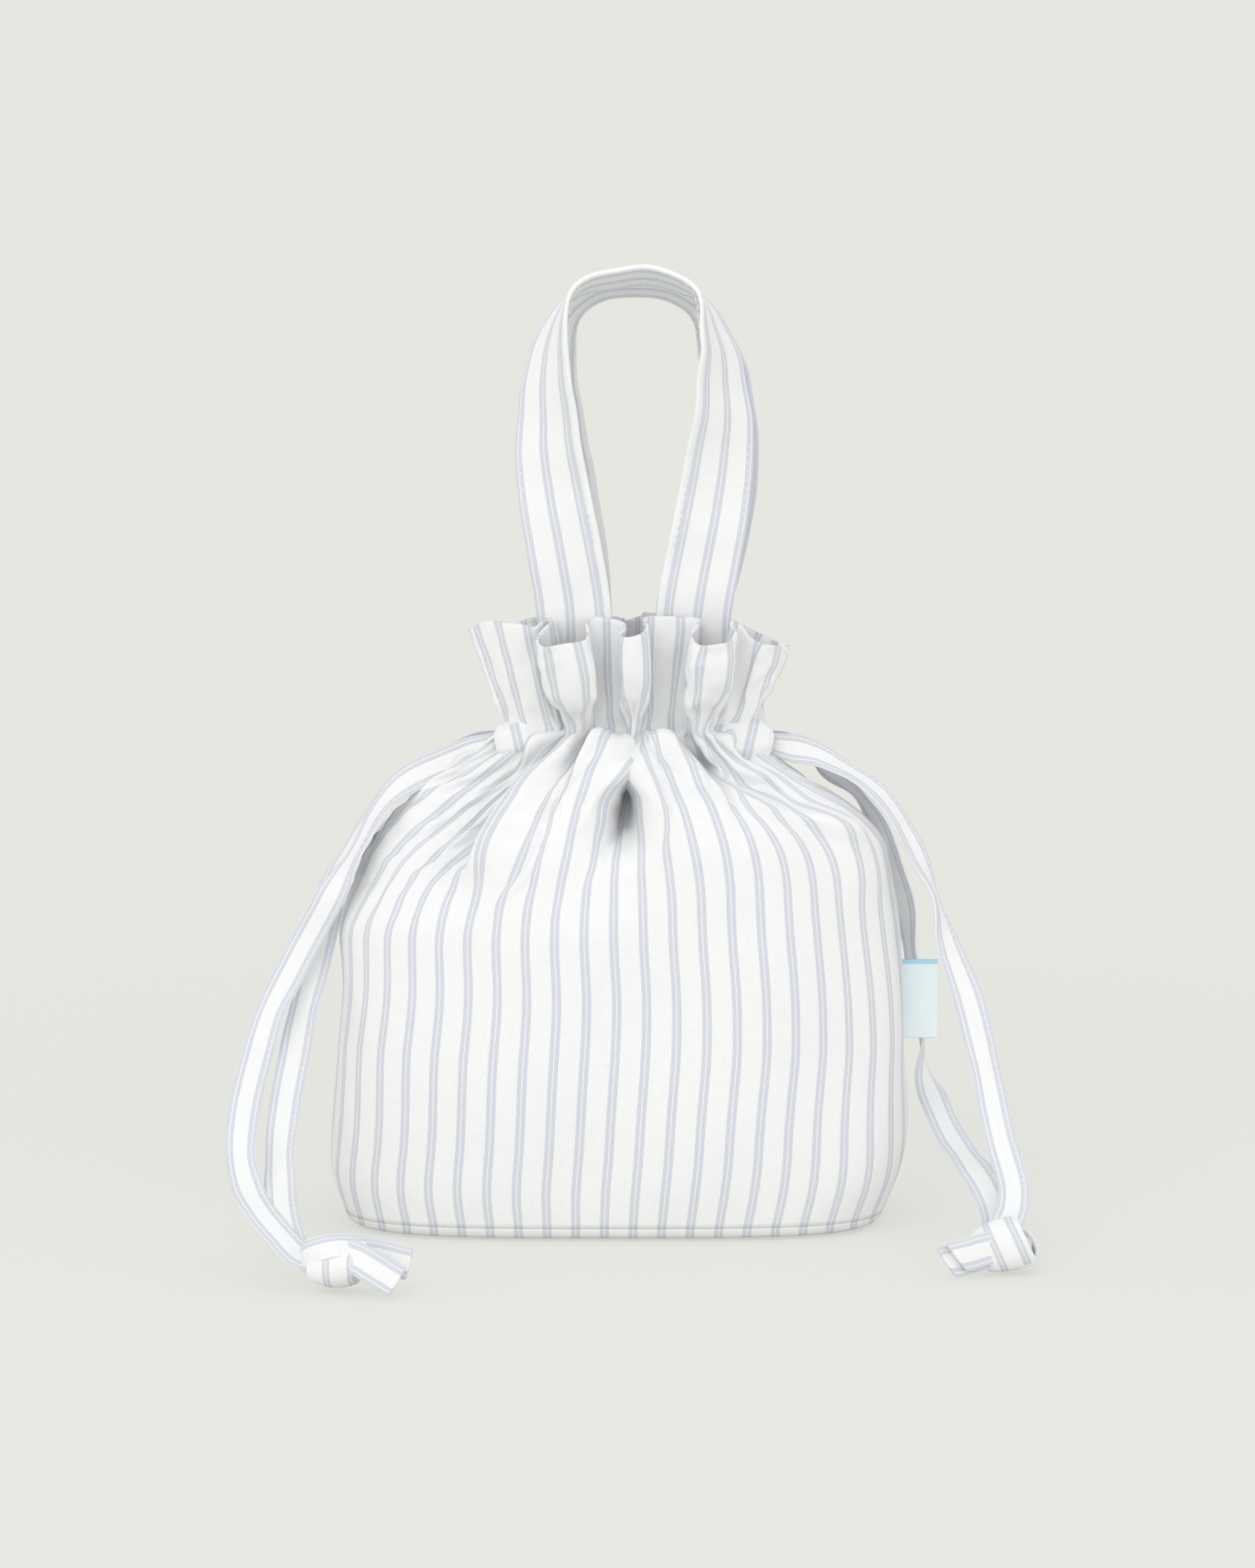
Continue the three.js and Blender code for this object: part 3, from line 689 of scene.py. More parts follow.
def shoulder_rows(side, ring, outward, cinch):
    """Rows from the shoulder to the drawstring, with the main folds of the neck."""
    place = FLAT_PLACES
    right = eased((ring[:, 0] + 10) / 80)
    roof = eased((-66 - place) / 14)
    high = eased((-112 - place) / 24) if side == FRONT else eased((-60 - place) / 30)
    lobes = bells(place, SHOULDER_LOBES)
    if side == FRONT:
        lobes += bells(place, FRONT_LOBES)
    puffs = bells(place, GATHER_PUFFS)
    gathers = 2.2 * np.sin(place / 3.3 + 1.4 * np.sin(place / 17))
    rows = []
    for share in SHOULDER_SHARES:
        sloped = share ** 1.15
        square = eased(share) ** 1.4
        across = (1 - right) * ((1 - high) * sloped + high * share ** 1.95) + right * square
        inward = (1 - right) * ((1 - roof) * sloped + roof * share ** 0.65) + right * square ** 1.5
        fading = 1 - share ** 8

        swell = lobes * share ** 0.9 * (1 - share) ** 0.5 * 1.5
        opened = eased((share - 0.2) / 0.35) * (1 - eased((share - 0.8) / 0.12))
        swell += opened * bells(place, PLEAT_SIDES + [(-24, 0, 15 - 12 * share)])
        swell += 2 * eased((share - 0.76) / 0.1) * fading * bell(place, 0, 11)
        swell -= 11 * eased((share - 0.45) / 0.3) * fading * bell(place, 60, 5)
        swell -= 8 * eased((share - 0.6) / 0.25) * fading * bell(place, -50, 5)
        crease = share - 0.78 + 0.42 * np.clip((place - 42) / 60, 0, 1)
        across_crease = eased((place - 34) / 14) * eased((120 - place) / 14)
        swell += across_crease * bells(crease, SLANTED_CREASE)
        swell += gathers * eased((share - 0.5) / 0.45) * (1 - share ** 12)
        crown = puffs * bell(share, 0.9, 0.07)
        swell += 8 * crown

        flat_x = (1 - across) * ring[:, 0] + across * cinch[:, 0] + outward[:, 0] * swell
        meeting = 10 * eased((share - 0.54) / 0.28) * (1 - eased((share - 0.87) / 0.11))
        flat_x += meeting * bells(place, PLEAT_LIPS)
        flat_y = (1 - inward) * ring[:, 1] + inward * cinch[:, 1] + outward[:, 1] * swell
        risen = (1 - right) * share ** 0.9 + right * share ** 0.75
        z = SHOULDER_Z + (CINCH_Z - SHOULDER_Z) * risen + 0.5 * share * swell + 3 * crown
        if side == FRONT:
            turned = 10 * eased(share / 0.4) * (1 - eased((share - 0.65) / 0.3))
            flat_x += turned * bells(place, FRONT_TURN)
            z -= 24 * bell(place, -92, 10) * share * (1 - share)
        rows.append(np.column_stack([flat_x, flat_y, z]))
    return rows


def ruffle_rows(side, cinch, top, fold, apart):
    """Rows from the drawstring to the uneven top edge."""
    place = FLAT_PLACES
    lean = np.linalg.norm(top - cinch, axis=1)
    rise = np.sqrt(np.maximum(RUFFLE_LENGTH ** 2 - lean ** 2, 100))
    rise *= 1 + 0.02 * np.sin(place / 13 + 0.6) + 0.012 * np.sin(place / 6.1)
    rise *= 1 - 0.1 * bell(np.abs(place), CLOTH_WIDTH / 2, 5)
    if side == FRONT:
        rise *= 1 - 0.1 * fold * (1 - 0.4 * bell(place, 5, 20)) - 0.17 * eased((place - 112) / 12)
    else:
        rise *= 1 - 0.15 * eased((place - 100) / 36)
    rows = []
    for share in RUFFLE_SHARES:
        bend = share ** 0.9
        flat = (1 - bend) * cinch + bend * top
        swollen = math.sin(math.pi * share ** 0.8)
        flat[:, 0] -= 0.45 * fold * apart * swollen
        flat[:, 1] += side * 5 * fold * swollen
        rows.append(np.column_stack([flat, CINCH_Z + rise * share]))
    return rows


def drawn_half(side):
    """One half of the cloth as drawn in before it settles, and the same cloth before it was gathered."""
    body, ring, outward = body_rows(side)
    cinch, top, fold, apart = neck_lines(side)
    shoulder = shoulder_rows(side, ring, outward, cinch)
    ruffle = ruffle_rows(side, cinch, top, fold, apart)
    belly = half_ring(110, 110, 60, 2.8, side)
    belly = belly * (CLOTH_WIDTH / length_along(belly)[-1])
    plain = [np.column_stack([belly, np.full(len(belly), z)]) for z in FLAT_HEIGHTS]
    return np.array(body + shoulder + ruffle), np.array(plain)


def sewn_numbers(rows):
    """Point numbers of both halves, which share the points of the side seams below the slits."""
    front = np.arange(rows * (COLUMNS + 1)).reshape(rows, COLUMNS + 1)
    back = front + front.size
    back[:SLIT_ROW + 1, 0] = front[:SLIT_ROW + 1, 0]
    back[:SLIT_ROW + 1, -1] = front[:SLIT_ROW + 1, -1]
    used = np.unique(np.concatenate([front.ravel(), back.ravel()]))
    number = np.zeros(2 * front.size, int)
    number[used] = np.arange(len(used))
    return number[front], number[back], used


# The simulation runs at a larger scale, which suits Blender's solver
TRIAL_SCALE = 10.0
TRIAL_FRAMES = 34
TRIAL_SETTINGS = {
    "quality": 6, "mass": 0.3, "air_damping": 2, "tension_stiffness": 20, "compression_stiffness": 20,
    "shear_stiffness": 8, "bending_stiffness": 1, "tension_damping": 10, "compression_damping": 10,
    "shear_damping": 10, "bending_damping": 1, "vertex_group_mass": "held", "pin_stiffness": 1,
    "use_pressure": True, "uniform_pressure_force": 1.2, "vertex_group_pressure": "puffed",
}
TRIAL_GRAVITY = 0.1
CLOTH_APART = 1.4
CLOTH_FRICTION = 5
RUFFLE_HOLD = 0.52


def cloth_holds(numbers, rows, count):
    """How firmly each point is held, and which points the pressure swells."""
    place = FLAT_PLACES
    held = np.zeros(count)
    puffed = np.zeros(count)
    folds = np.maximum(bells(place, HELD_FOLDS), 0.9 * bell(place, -104, 26))
    for number in numbers:
        for r in range(rows):
            z = SEAM_Z + (SHOULDER_Z - SEAM_Z) * r / BODY_ROWS
            held[number[r]] = 1.0 if r == CINCH_ROW else np.clip((128 - z) / 14, 0, 1)
            if BODY_ROWS + 4 < r < CINCH_ROW:
                up = (r - BODY_ROWS) / SHOULDER_ROWS
                puffs = 0.9 * bells(place, GATHER_PUFFS) * eased((up - 0.75) / 0.1)
                firm = np.maximum(folds, puffs) * eased(up * 5)
                held[number[r]] = np.round(np.clip(firm, 0.5, 0.95), 2)
            if r > CINCH_ROW + 2:
                held[number[r]] = RUFFLE_HOLD
            puffed[number[r]] = 1.0 if r < CINCH_ROW - 1 else 0.0
    return {"held": held, "puffed": puffed}


def settle_cloth(halves, plain):
    """Lets the drawn-in cloth swell and fold by itself, held at the base and at the drawstring."""
    rows = halves[FRONT].shape[0]
    front, back, used = sewn_numbers(rows)
    drawn = np.concatenate([halves[FRONT].reshape(-1, 3), halves[BACK].reshape(-1, 3)])[used]
    before = np.concatenate([plain[FRONT].reshape(-1, 3), plain[BACK].reshape(-1, 3)])[used]
    faces = []
    for number, flip in ((front, False), (back, True)):
        flat = number.ravel()
        faces += [tuple(int(flat[i]) for i in face) for face in grid_faces(rows, COLUMNS + 1, flip=flip)]
    mesh = bpy.data.meshes.new("cloth_trial")
    mesh.from_pydata((drawn * MM * TRIAL_SCALE).tolist(), [], faces)
    trial = bpy.data.objects.new("cloth_trial", mesh)
    bpy.context.scene.collection.objects.link(trial)
    trial.shape_key_add(name="drawn")
    ungathered = trial.shape_key_add(name="ungathered")
    ungathered.data.foreach_set("co", (before * MM * TRIAL_SCALE).ravel())
    for name, weights in cloth_holds((front, back), rows, len(drawn)).items():
        group = trial.vertex_groups.new(name=name)
        for weight in np.unique(weights[weights > 0]):
            group.add([int(i) for i in np.nonzero(weights == weight)[0]], float(weight), "REPLACE")

    cloth = trial.modifiers.new("cloth", "CLOTH")
    for key, value in TRIAL_SETTINGS.items():
        setattr(cloth.settings, key, value)
    cloth.settings.rest_shape_key = ungathered
    cloth.settings.effector_weights.gravity = TRIAL_GRAVITY
    cloth.collision_settings.use_collision = False
    cloth.collision_settings.use_self_collision = True
    cloth.collision_settings.self_distance_min = CLOTH_APART * MM * TRIAL_SCALE
    cloth.collision_settings.self_friction = CLOTH_FRICTION
    cloth.point_cache.frame_start = 1
    cloth.point_cache.frame_end = TRIAL_FRAMES
    for number in range(1, TRIAL_FRAMES + 1):
        bpy.context.scene.frame_set(number)

    graph = bpy.context.evaluated_depsgraph_get()
    settled = trial.evaluated_get(graph).to_mesh()
    points = np.empty(len(settled.vertices) * 3)
    settled.vertices.foreach_get("co", points)
    points = points.reshape(-1, 3) / (MM * TRIAL_SCALE)
    bpy.context.scene.frame_set(1)
    bpy.data.objects.remove(trial)
    bpy.data.meshes.remove(mesh)
    return {FRONT: points[front], BACK: points[back]}


CLOTH = {}


def gathered_cloth():
    """Settled grids of both halves, worked out once."""
    if not CLOTH:
        drawn = {side: drawn_half(side) for side in (FRONT, BACK)}
        halves = {side: drawn[side][0] for side in drawn}
        halves = settle_cloth(halves, {side: drawn[side][1] for side in drawn})
        CLOTH.update(halves)
    return CLOTH


# Where the first stripe starts, and the place across the cloth that stays put where the cloth is eased in
STRIPE_START = 2.0
EASED_ABOUT = -35


def stripe_places(z):
    """Place of each column across the flat cloth, which is eased in a little towards the base."""
    across = FLAT_PLACES + STRIPE_START
    return (across - EASED_ABOUT) * (1 + 0.05 * eased((75 - z) / 40)) + EASED_ABOUT


def cloth_places(rows):
    """Where each grid point lies on the flat cloth."""
    up = FLAT_HEIGHTS[:rows]
    grid = np.zeros((rows, COLUMNS + 1, 3))
    grid[..., 0] = [stripe_places(z) for z in up]
    grid[..., 1] = up[:, None]
    return grid.reshape(-1, 3)


# Thicknesses and depths behind the face of the cloth
CLOTH_THICKNESS = 1.1
BASE_THICKNESS = 1.0
FOAM_DEPTH = 1.6
FOAM_THICKNESS = 3.2
FOIL_DEPTH = 5.2
FOIL_THICKNESS = 0.5
STITCH_DEPTH = 0.14
LINING_ROWS = BODY_ROWS + 5

# Rings of the base from its seam inwards: height, inset and share of the size
BASE_RINGS = [
    (SEAM_Z, 0.0, 1.0), (3.4, 0.5, 1.0), (2.0, 1.4, 1.0), (0.9, 2.8, 1.0), (0.25, 4.8, 1.0),
    (0.0, 8.0, 1.0), (0.0, 8.0, 0.8), (0.0, 8.0, 0.55), (0.0, 8.0, 0.3), (0.0, 8.0, 0.1),
]


def make_cloth():
    grids = gathered_cloth()
    cotton = finish_named("double_striped_cotton")
    for side in (FRONT, BACK):
        name = SIDE_NAMES[side]
        grid = grids[side]
        rows = grid.shape[0]
        faces = grid_faces(rows, COLUMNS + 1, flip=side == BACK)
        piece = add_piece(f"{name}_cloth", grid.reshape(-1, 3), faces, cloth_places(rows), cotton)
        thicken(piece, CLOTH_THICKNESS)
        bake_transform(piece)
        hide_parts(f"outer_{name}_panel", f"{name}_collar")

        hems = Lump()
        facing = grid_normals(grid) * (-side)
        for column in (1, COLUMNS - 1):
            out = facing[CINCH_ROW + 1:-1, column]
            line = grid[CINCH_ROW + 1:-1, column] - out * STITCH_DEPTH
            hems.add(*stitch_form(line, out, spacing=3.2, length=2.2, radius=0.24))
        hem = hems.piece(f"{name}_slit_stitches", finish_named("sewing_thread"))
        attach(hem, f"{name}_collar")


def make_base():
    left, right, depth, square = section_at(SEAM_Z)
    front_edge = half_ring(left, right, depth, square, FRONT)
    across = stripe_places(SEAM_Z)
    points, places = [], []
    for z, inset, share in BASE_RINGS:
        loop = whole_ring(left - inset, right - inset, depth - inset, square) * share
        points.append(np.column_stack([loop, np.full(len(loop), z)]))
        stripes = np.interp(loop[:, 0], front_edge[:, 0], across)
        places.append(np.column_stack([stripes, loop[:, 1] - z, np.zeros(len(loop))]))
    rows, ring = len(points), len(points[0])
    faces = grid_faces(rows, ring, closed=True, flip=True)
    faces.append(tuple(range((rows - 1) * ring, rows * ring))[::-1])
    cotton = finish_named("double_striped_cotton")
    piece = add_piece("base_cloth", np.vstack(points), faces, np.vstack(places), cotton)
    thicken(piece, BASE_THICKNESS)
    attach(piece, "bag")
    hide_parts("outer_base_panel")
    (left + right) * MM
    2 * depth * MM


def base_layer(name, finish, low, high, inset):
    """Flat closed layer inside the base, this far in from the seam."""
    left, right, depth, square = section_at(SEAM_Z)
    middle = (low + high) / 2
    edge = inset + 1.2
    points = []
    for z, step in ((low, edge), (low, inset), (middle, inset - 0.3), (high, inset), (high, edge)):
        loop = whole_ring(left - step, right - step, depth - step, square)
        points.append(np.column_stack([loop, np.full(len(loop), z)]))
    flat = np.vstack(points)
    piece = add_piece(name, flat, tube_faces(len(points), len(points[0])), flat, finish_named(finish))
    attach(piece, "bag")
    size = ((left + right - 2 * inset) * MM, 2 * (depth - inset) * MM)
    return piece, size


def make_inner_layers():
    """Foam and foil behind the cloth, and the foam and foil in the base."""
    grids = gathered_cloth()
    places = cloth_places(LINING_ROWS)
    foam_finish = finish_named("foam_sheet")
    foil_finish = finish_named("foil_lining")
    for side in (FRONT, BACK):
        name = SIDE_NAMES[side]
        inward = grid_normals(grids[side]) * side
        faces = grid_faces(LINING_ROWS, COLUMNS + 1, flip=side == BACK)
        foam_face = (grids[side] + inward * FOAM_DEPTH)[:LINING_ROWS]
        foam = add_piece(f"{name}_foam", foam_face.reshape(-1, 3), faces, places, foam_finish)
        thicken(foam, FOAM_THICKNESS)
        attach(foam, "bag")
        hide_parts(f"insulation_{name}")
        foil_face = (grids[side] + inward * FOIL_DEPTH)[:LINING_ROWS]
        foil = add_piece(f"{name}_foil", foil_face.reshape(-1, 3), faces, places, foil_finish)
        thicken(foil, FOIL_THICKNESS)
        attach(foil, "bag")
        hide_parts(f"foil_lining_{name}")

    pad, _ = base_layer("base_foam", "foam_sheet", low=1.3, high=5.0, inset=6.5)
    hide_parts("insulation_base")
    sheet, size = base_layer("base_foil", "foil_lining", low=5.5, high=6.1, inset=7.0)
    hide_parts("foil_lining_base")


# Straps

STRAP_SECTION = [
    (-14.5, 0.35), (-14.2, 0.8), (-13.4, 1.05), (-12.5, 0.95), (-12.1, 0.66), (-11.7, 0.9), (-10.2, 1.0),
    (-5.0, 0.95), (0.0, 0.9), (5.0, 0.95),
    (10.2, 1.0), (11.7, 0.9), (12.1, 0.66), (12.5, 0.95), (13.4, 1.05), (14.2, 0.8), (14.5, 0.35),
]
STITCH_OFFSET = 12.1
STITCH_LIFT = 0.72
STITCHED = slice(46, -46)

# Half of a loop from its sewn end to its top: share of the width, share of the height, turn of the strap
LOOP_STATIONS = [
    (0.645, 0.0, 0), (0.745, 0.17, 5), (0.885, 0.40, 20), (0.93, 0.60, 42),
    (0.865, 0.79, 62), (0.635, 0.932, 82), (0.0, 0.982, 90),
]
LOOP_HALF_WIDTH = 36
LOOP_TOP_Y = 20.6
STRAP_TILT = 0.165
STRAP_SHIFT = 1.5
HINGE_Z = 237.0
SEWN_X = 22.6
SEWN_Y = 11.16
SEWN_BOTTOM = 192.0
SEWN_TOP = SEWN_BOTTOM + 22

# Height of each loop above its hinge, and how far it leans to the right
LOOP_FORMS = {FRONT: (129, 0.2), BACK: (127.5, 3.0)}


def strap_line(side):
    """Middle line of a strap and the way across it, from one sewn end over the loop to the other."""
    height, lean = LOOP_FORMS[side]
    places, widths = [], []
    for hand in (LEFT, RIGHT):
        stations = LOOP_STATIONS if hand == LEFT else LOOP_STATIONS[-2::-1]
        leg = [(NECK_X + hand * SEWN_X, side * SEWN_Y, z) for z in (SEWN_BOTTOM, SEWN_TOP)]
        loop = []
        for out, up, turn in stations:
            angle = math.radians(turn)
            x = NECK_X + hand * out * LOOP_HALF_WIDTH + lean * math.sin(math.pi * up ** 0.8)
            y = side * (SEWN_Y + (LOOP_TOP_Y - SEWN_Y) * math.sin(angle) ** 2)
            width = (-hand * math.cos(angle), side * math.sin(angle), -side * STRAP_TILT * math.sin(angle))
            loop.append(((x, y, HINGE_Z + height * up), width))
        ends = [(place, (-hand, 0, 0)) for place in leg]
        for place, width in (ends + loop if hand == LEFT else loop + ends[::-1]):
            places.append(place)
            widths.append(width)
    line = smooth_path(places, 600)
    across = smooth_path(widths, 600)
    along = length_along(line)
    even = np.linspace(0, along[-1], 260)
    return read_at(line, along, even), unit(read_at(across, along, even)), even


def make_handles():
    cotton = finish_named("double_striped_cotton")
    for side in (FRONT, BACK):
        name = SIDE_NAMES[side]
        line, across, even = strap_line(side)
        tangent = unit(np.gradient(line, axis=0))
        facing = np.cross(across, tangent)
        ripple = 0.45 * np.sin(even / 4.3 + side) * np.sin(even / 23.0) + 0.3 * np.sin(even / 9.1 + 2 * side)
        line = line + facing * ripple[:, None]
        piece = add_piece(f"{name}_strap", *band_form(line, across, STRAP_SECTION, shift=STRAP_SHIFT), cotton)
        round_off(piece)
        threads = Lump()
        for edge in (-STITCH_OFFSET, STITCH_OFFSET):
            for face in (-1, 1):
                seam = (line + across * edge + facing * (STITCH_LIFT * face))[STITCHED]
                threads.add(*stitch_form(seam, facing[STITCHED] * face, spacing=3.3, length=2.3, radius=0.26))
        stitches = threads.piece(f"{name}_strap_stitches", finish_named("sewing_thread"))
        for part in (piece, stitches):
            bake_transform(part)
        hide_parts(f"{name}_handle", f"{name}_handle_left_end", f"{name}_handle_right_end")


# Drawstrings

TAPE_SECTION = [
    (-5.9, 0.3), (-5.7, 0.62), (-4.9, 0.72), (-3.9, 0.5), (-3.2, 0.68), (0.0, 0.72),
    (3.8, 0.72), (5.0, 0.74), (5.7, 0.62), (5.9, 0.3),
]
TAPE_SEAM = 3.9
TAPE_SEAM_LIFT = 0.56
TAPE_STITCHED = slice(22, -4)

# How much the stripes are spread on the narrow tape, and half their pitch, which puts lines at its edges
TAPE_STRETCH = 1.3
HALF_PITCH = 5.75

# Length of tape before the point where its waves are counted from, and where it leaves the neck
HIDDEN_TAPE = 12.6
EXIT_REACH = 54

KNOTS = {LEFT: (-93.8, -129.6, 9.3), RIGHT: (140.4, -102.6, 9.15)}


def tape_line(route):
    """Middle line of a tape with its small waves, the way across it and the way along it."""
    places = np.array([place for place, _ in route]) / MM
    faces = np.array([face for _, face in route], float)
    count = 10 * len(route)
    line = smooth_path(places, count)
    looks = smooth_path(faces, count)
    tangent = unit(np.gradient(line, axis=0))
    across = unit(np.cross(tangent, looks))
    facing = np.cross(across, tangent)
    along = length_along(line) - HIDDEN_TAPE
    free = eased((along - 30) / 30)
    twist = free * (0.2 * np.sin(along / 11 + places[4, 0]) + 0.12 * np.sin(along / 5.3))
    across = across * np.cos(twist)[:, None] + facing * np.sin(twist)[:, None]
    line = line + facing * (free * 0.5 * np.sin(along / 7.7))[:, None]
    return line, across, tangent


def wrap_form(middle, path, across, section, count=60, shift=0.0, bow=0.0, slant=0.0):
    """A stretch of tape through points given from the middle of its knot, bowed away from that middle."""
    local = even_steps(smooth_path(np.array(path, float), 300), count)
    ways = unit(smooth_path(np.array(across, float), count))
    facing = np.cross(ways, np.gradient(local, axis=0))
    if (facing * local).sum() < 0:
        ways = -ways
        shift = -shift
        slant = -slant
    return band_form(local + np.array(middle), ways, section, shift, TAPE_STRETCH, bow, slant)


def core_form(middle, size):
    """Bunched cloth inside a knot."""
    rows, ring = 13, 20
    points = []
    for r in range(rows):
        lift = -math.pi / 2 + math.pi * (r + 0.5) / rows
        for c in range(ring):
            turn = 2 * math.pi * c / ring
            bulge = 1 + 0.06 * math.sin(3 * turn + 2 * lift) + 0.05 * math.cos(5 * turn - lift)
            points.append((size[0] * math.sin(lift), size[1] * math.cos(lift) * math.cos(turn) * bulge,
                           size[2] * math.cos(lift) * math.sin(turn) * bulge))
    points = np.array(points) + np.array(middle)
    return points, tube_faces(rows, ring), points[:, [0, 2, 1]]


KNOT_SECTION = [
    (-6.2, 0.3), (-5.9, 0.8), (-5.0, 1.0), (-3.0, 1.1), (0.0, 1.15),
    (3.0, 1.1), (5.0, 1.0), (5.9, 0.8), (6.2, 0.3),
]
WIDE_SECTION = [(1.45 * offset, half) for offset, half in KNOT_SECTION]
NARROW_SECTION = [(0.75 * offset, 0.9 * half) for offset, half in KNOT_SECTION]

# Turns of tape round each knot: section, stripe shift, bow, path and the way across it
WRAPS = {
    LEFT: [
        (WIDE_SECTION, 2.0, 2.2,
         [(-6.0, -5.0, 5.2), (-6.8, -8.6, 1.6), (-6.8, -8.6, -1.8), (-6.4, -5.4, -4.2), (-6, 0, -4.8),
          (-5.5, 5, -4)],
         [(1, 0, 0.1), (1, -0.1, 0.12), (1, -0.1, 0.05), (1, -0.1, -0.05), (1, 0, 0), (1, 0, 0)]),
        (KNOT_SECTION, HALF_PITCH, 1.5,
         [(-8, 3.6, -1.6), (-13.0, 2.4, -1.2), (-15.8, -1.0, 0.8), (-14.4, -5.2, 3.6), (-10.2, -7.2, 5.4),
          (-5.6, -7.0, 6.2), (-0.8, -5.2, 5.8), (4.2, -2.4, 4.8), (8, 2.5, 2.5)],
         [(0.2, 0.5, 0.85), (0, 0.7, 0.7), (-0.2, 0.6, 0.78), (-0.4, 0.45, 0.8), (-0.35, 0.45, 0.82),
          (-0.2, 0.55, 0.82), (0, 0.65, 0.75), (0.1, 0.7, 0.7), (0.1, 0.8, 0.6)]),
    ],
    RIGHT: [
        (NARROW_SECTION, HALF_PITCH, 0.0,
         [(-5.5, -1.5, -5.4), (0, -2.6, -6.4), (5, -2.8, -6.6), (9, -2.4, -5.4), (11, -1.4, -2.8),
          (10.6, 0.4, 0.6), (8.6, 2, 3.8), (6, 3.5, 5.2)],
         [(0, 0.95, -0.2)] * 8),
        (WIDE_SECTION, 3.6, 1.8,
         [(-1.0, 5, 2.6), (-3.8, 0, 6.75), (-3.4, -5.5, 5.6), (-1.7, -8.0, 2.0), (0.2, -8.0, -2.2),
          (1.8, -5.0, -4.9), (2.6, 1.5, -5.4), (2.6, 5, -4)],
         [(0.9, 0, 0.3), (0.9, 0, 0.35), (0.88, -0.05, 0.4), (0.88, -0.05, 0.4), (0.9, -0.05, 0.35),
          (0.95, 0, 0.2), (1, 0, 0), (1, 0, 0)]),
    ],
}

# Short ends of tape past each knot: path and the way across it
TAILS = {
    LEFT: {
        "front": ([(-3, -6.4, 5.2), (3.3, -9.6, 3.4), (8.3, -11.6, 0.8), (13, -13.0, -1.8),
                   (16.8, -13.8, -3.9)],
                  [(0.4, 0.3, 0.85), (0.45, 0.35, 0.8)] + [(0.5, 0.35, 0.75)] * 3),
        "back": ([(1, -2.5, 4.0), (7.5, -3.4, 3.8), (12.5, -4.4, 2.8), (17, -5.0, 1.8), (20.8, -5.4, 1.0)],
                 [(0.1, 0.25, 0.95)] + [(0.12, 0.25, 0.95)] * 4),
    },
    RIGHT: {
        "front": ([(-2, -6.2, 1.6), (-8.4, -9.2, 1.0), (-14, -11.2, -0.2), (-19.3, -12.6, -1.2)],
                  [(0.05, 0.25, 0.95), (0.05, 0.25, 0.95), (0.05, 0.28, 0.95), (0.05, 0.3, 0.95)]),
        "back": ([(-1, -4.5, 0.2), (-8, -7.4, -0.6), (-15.5, -9.4, -2.4), (-22.8, -10.8, -3.4)],
                 [(0.05, 0.28, 0.95), (0.05, 0.3, 0.95), (0.05, 0.32, 0.92), (0.05, 0.34, 0.92)]),
    },
}
TAIL_SLANT = {LEFT: 0.0, RIGHT: 0.45}
TAIL_BOW = 0.8

# Bunched cloth inside each knot: place from the knot's middle and half sizes
CORES = {LEFT: ((0, 0, 0), (11.0, 6.6, 6.0)), RIGHT: ((2.9, 0, 0), (8.4, 6.4, 6.0))}


def make_knot(hand):
    name = HAND_NAMES[hand]
    middle = KNOTS[hand]
    cotton = finish_named("double_striped_cotton")
    knot = Lump()
    knot.add(*core_form(np.add(middle, CORES[hand][0]), CORES[hand][1]))
    for section, shift, bow, path, across in WRAPS[hand]:
        knot.add(*wrap_form(middle, path, across, section, shift=shift, bow=bow))
    pieces = [knot.piece(f"{name}_knot", cotton)]
    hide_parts(f"{name}_drawstring_knot")
    for side_name, (path, across) in TAILS[hand].items():
        tail = wrap_form(middle, path, across, TAPE_SECTION, count=24, shift=HALF_PITCH, bow=TAIL_BOW,
                         slant=TAIL_SLANT[hand])
        piece = add_piece(f"{name}_{side_name}_tail", *tail, cotton)
        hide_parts(f"{name}_drawstring_{side_name}_tail")
        pieces.append(piece)
    for piece in pieces:
        round_off(piece)
        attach(piece, f"{name}_drawstring")
    return pieces


def make_drawstrings():
    cotton = finish_named("double_striped_cotton")
    for hand in (LEFT, RIGHT):
        name = HAND_NAMES[hand]
        knot_pieces = make_knot(hand)
        for side_name in ("front", "back"):
            node = f"{name}_drawstring_{side_name}_tape"
            line, across, tangent = tape_line(TAPE_ROUTES[node])
            exit_at = np.argmin(np.abs(np.abs(line[:, 0] - NECK_X) - EXIT_REACH))
            along = length_along(line)
            gather = 1 - 0.45 * eased((along[exit_at] + 10 - along) / 16)
            tape = band_form(line, across, TAPE_SECTION, shift=HALF_PITCH, stretch=TAPE_STRETCH,
                             gather=gather)
            piece = add_piece(f"{name}_{side_name}_tape", *tape, cotton)
            round_off(piece)
            facing = np.cross(across, tangent)
            threads = Lump()
            for face in (-1, 1):
                seam = line - across * (TAPE_SEAM * gather[:, None]) + facing * (TAPE_SEAM_LIFT * face)
                threads.add(*stitch_form(seam[TAPE_STITCHED], facing[TAPE_STITCHED] * face,
                                         spacing=3.0, length=2.0, radius=0.2))
            stitches = threads.piece(f"{name}_{side_name}_tape_stitches", finish_named("sewing_thread"))
            for part in (piece, stitches):
                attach(part, f"{name}_drawstring")
            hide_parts(node)
            exit_point = line[exit_at] * MM
            (line * MM).tolist()


# Casing

FACING_SECTION = [
    (-6.8, 0.15), (-6.5, 0.3), (-3, 0.3), (0, 0.3), (3, 0.3), (6.5, 0.3), (6.8, 0.15),
]
FACING_POINTS = 60
UPRIGHT = np.array([0.0, 0.0, 1.0])

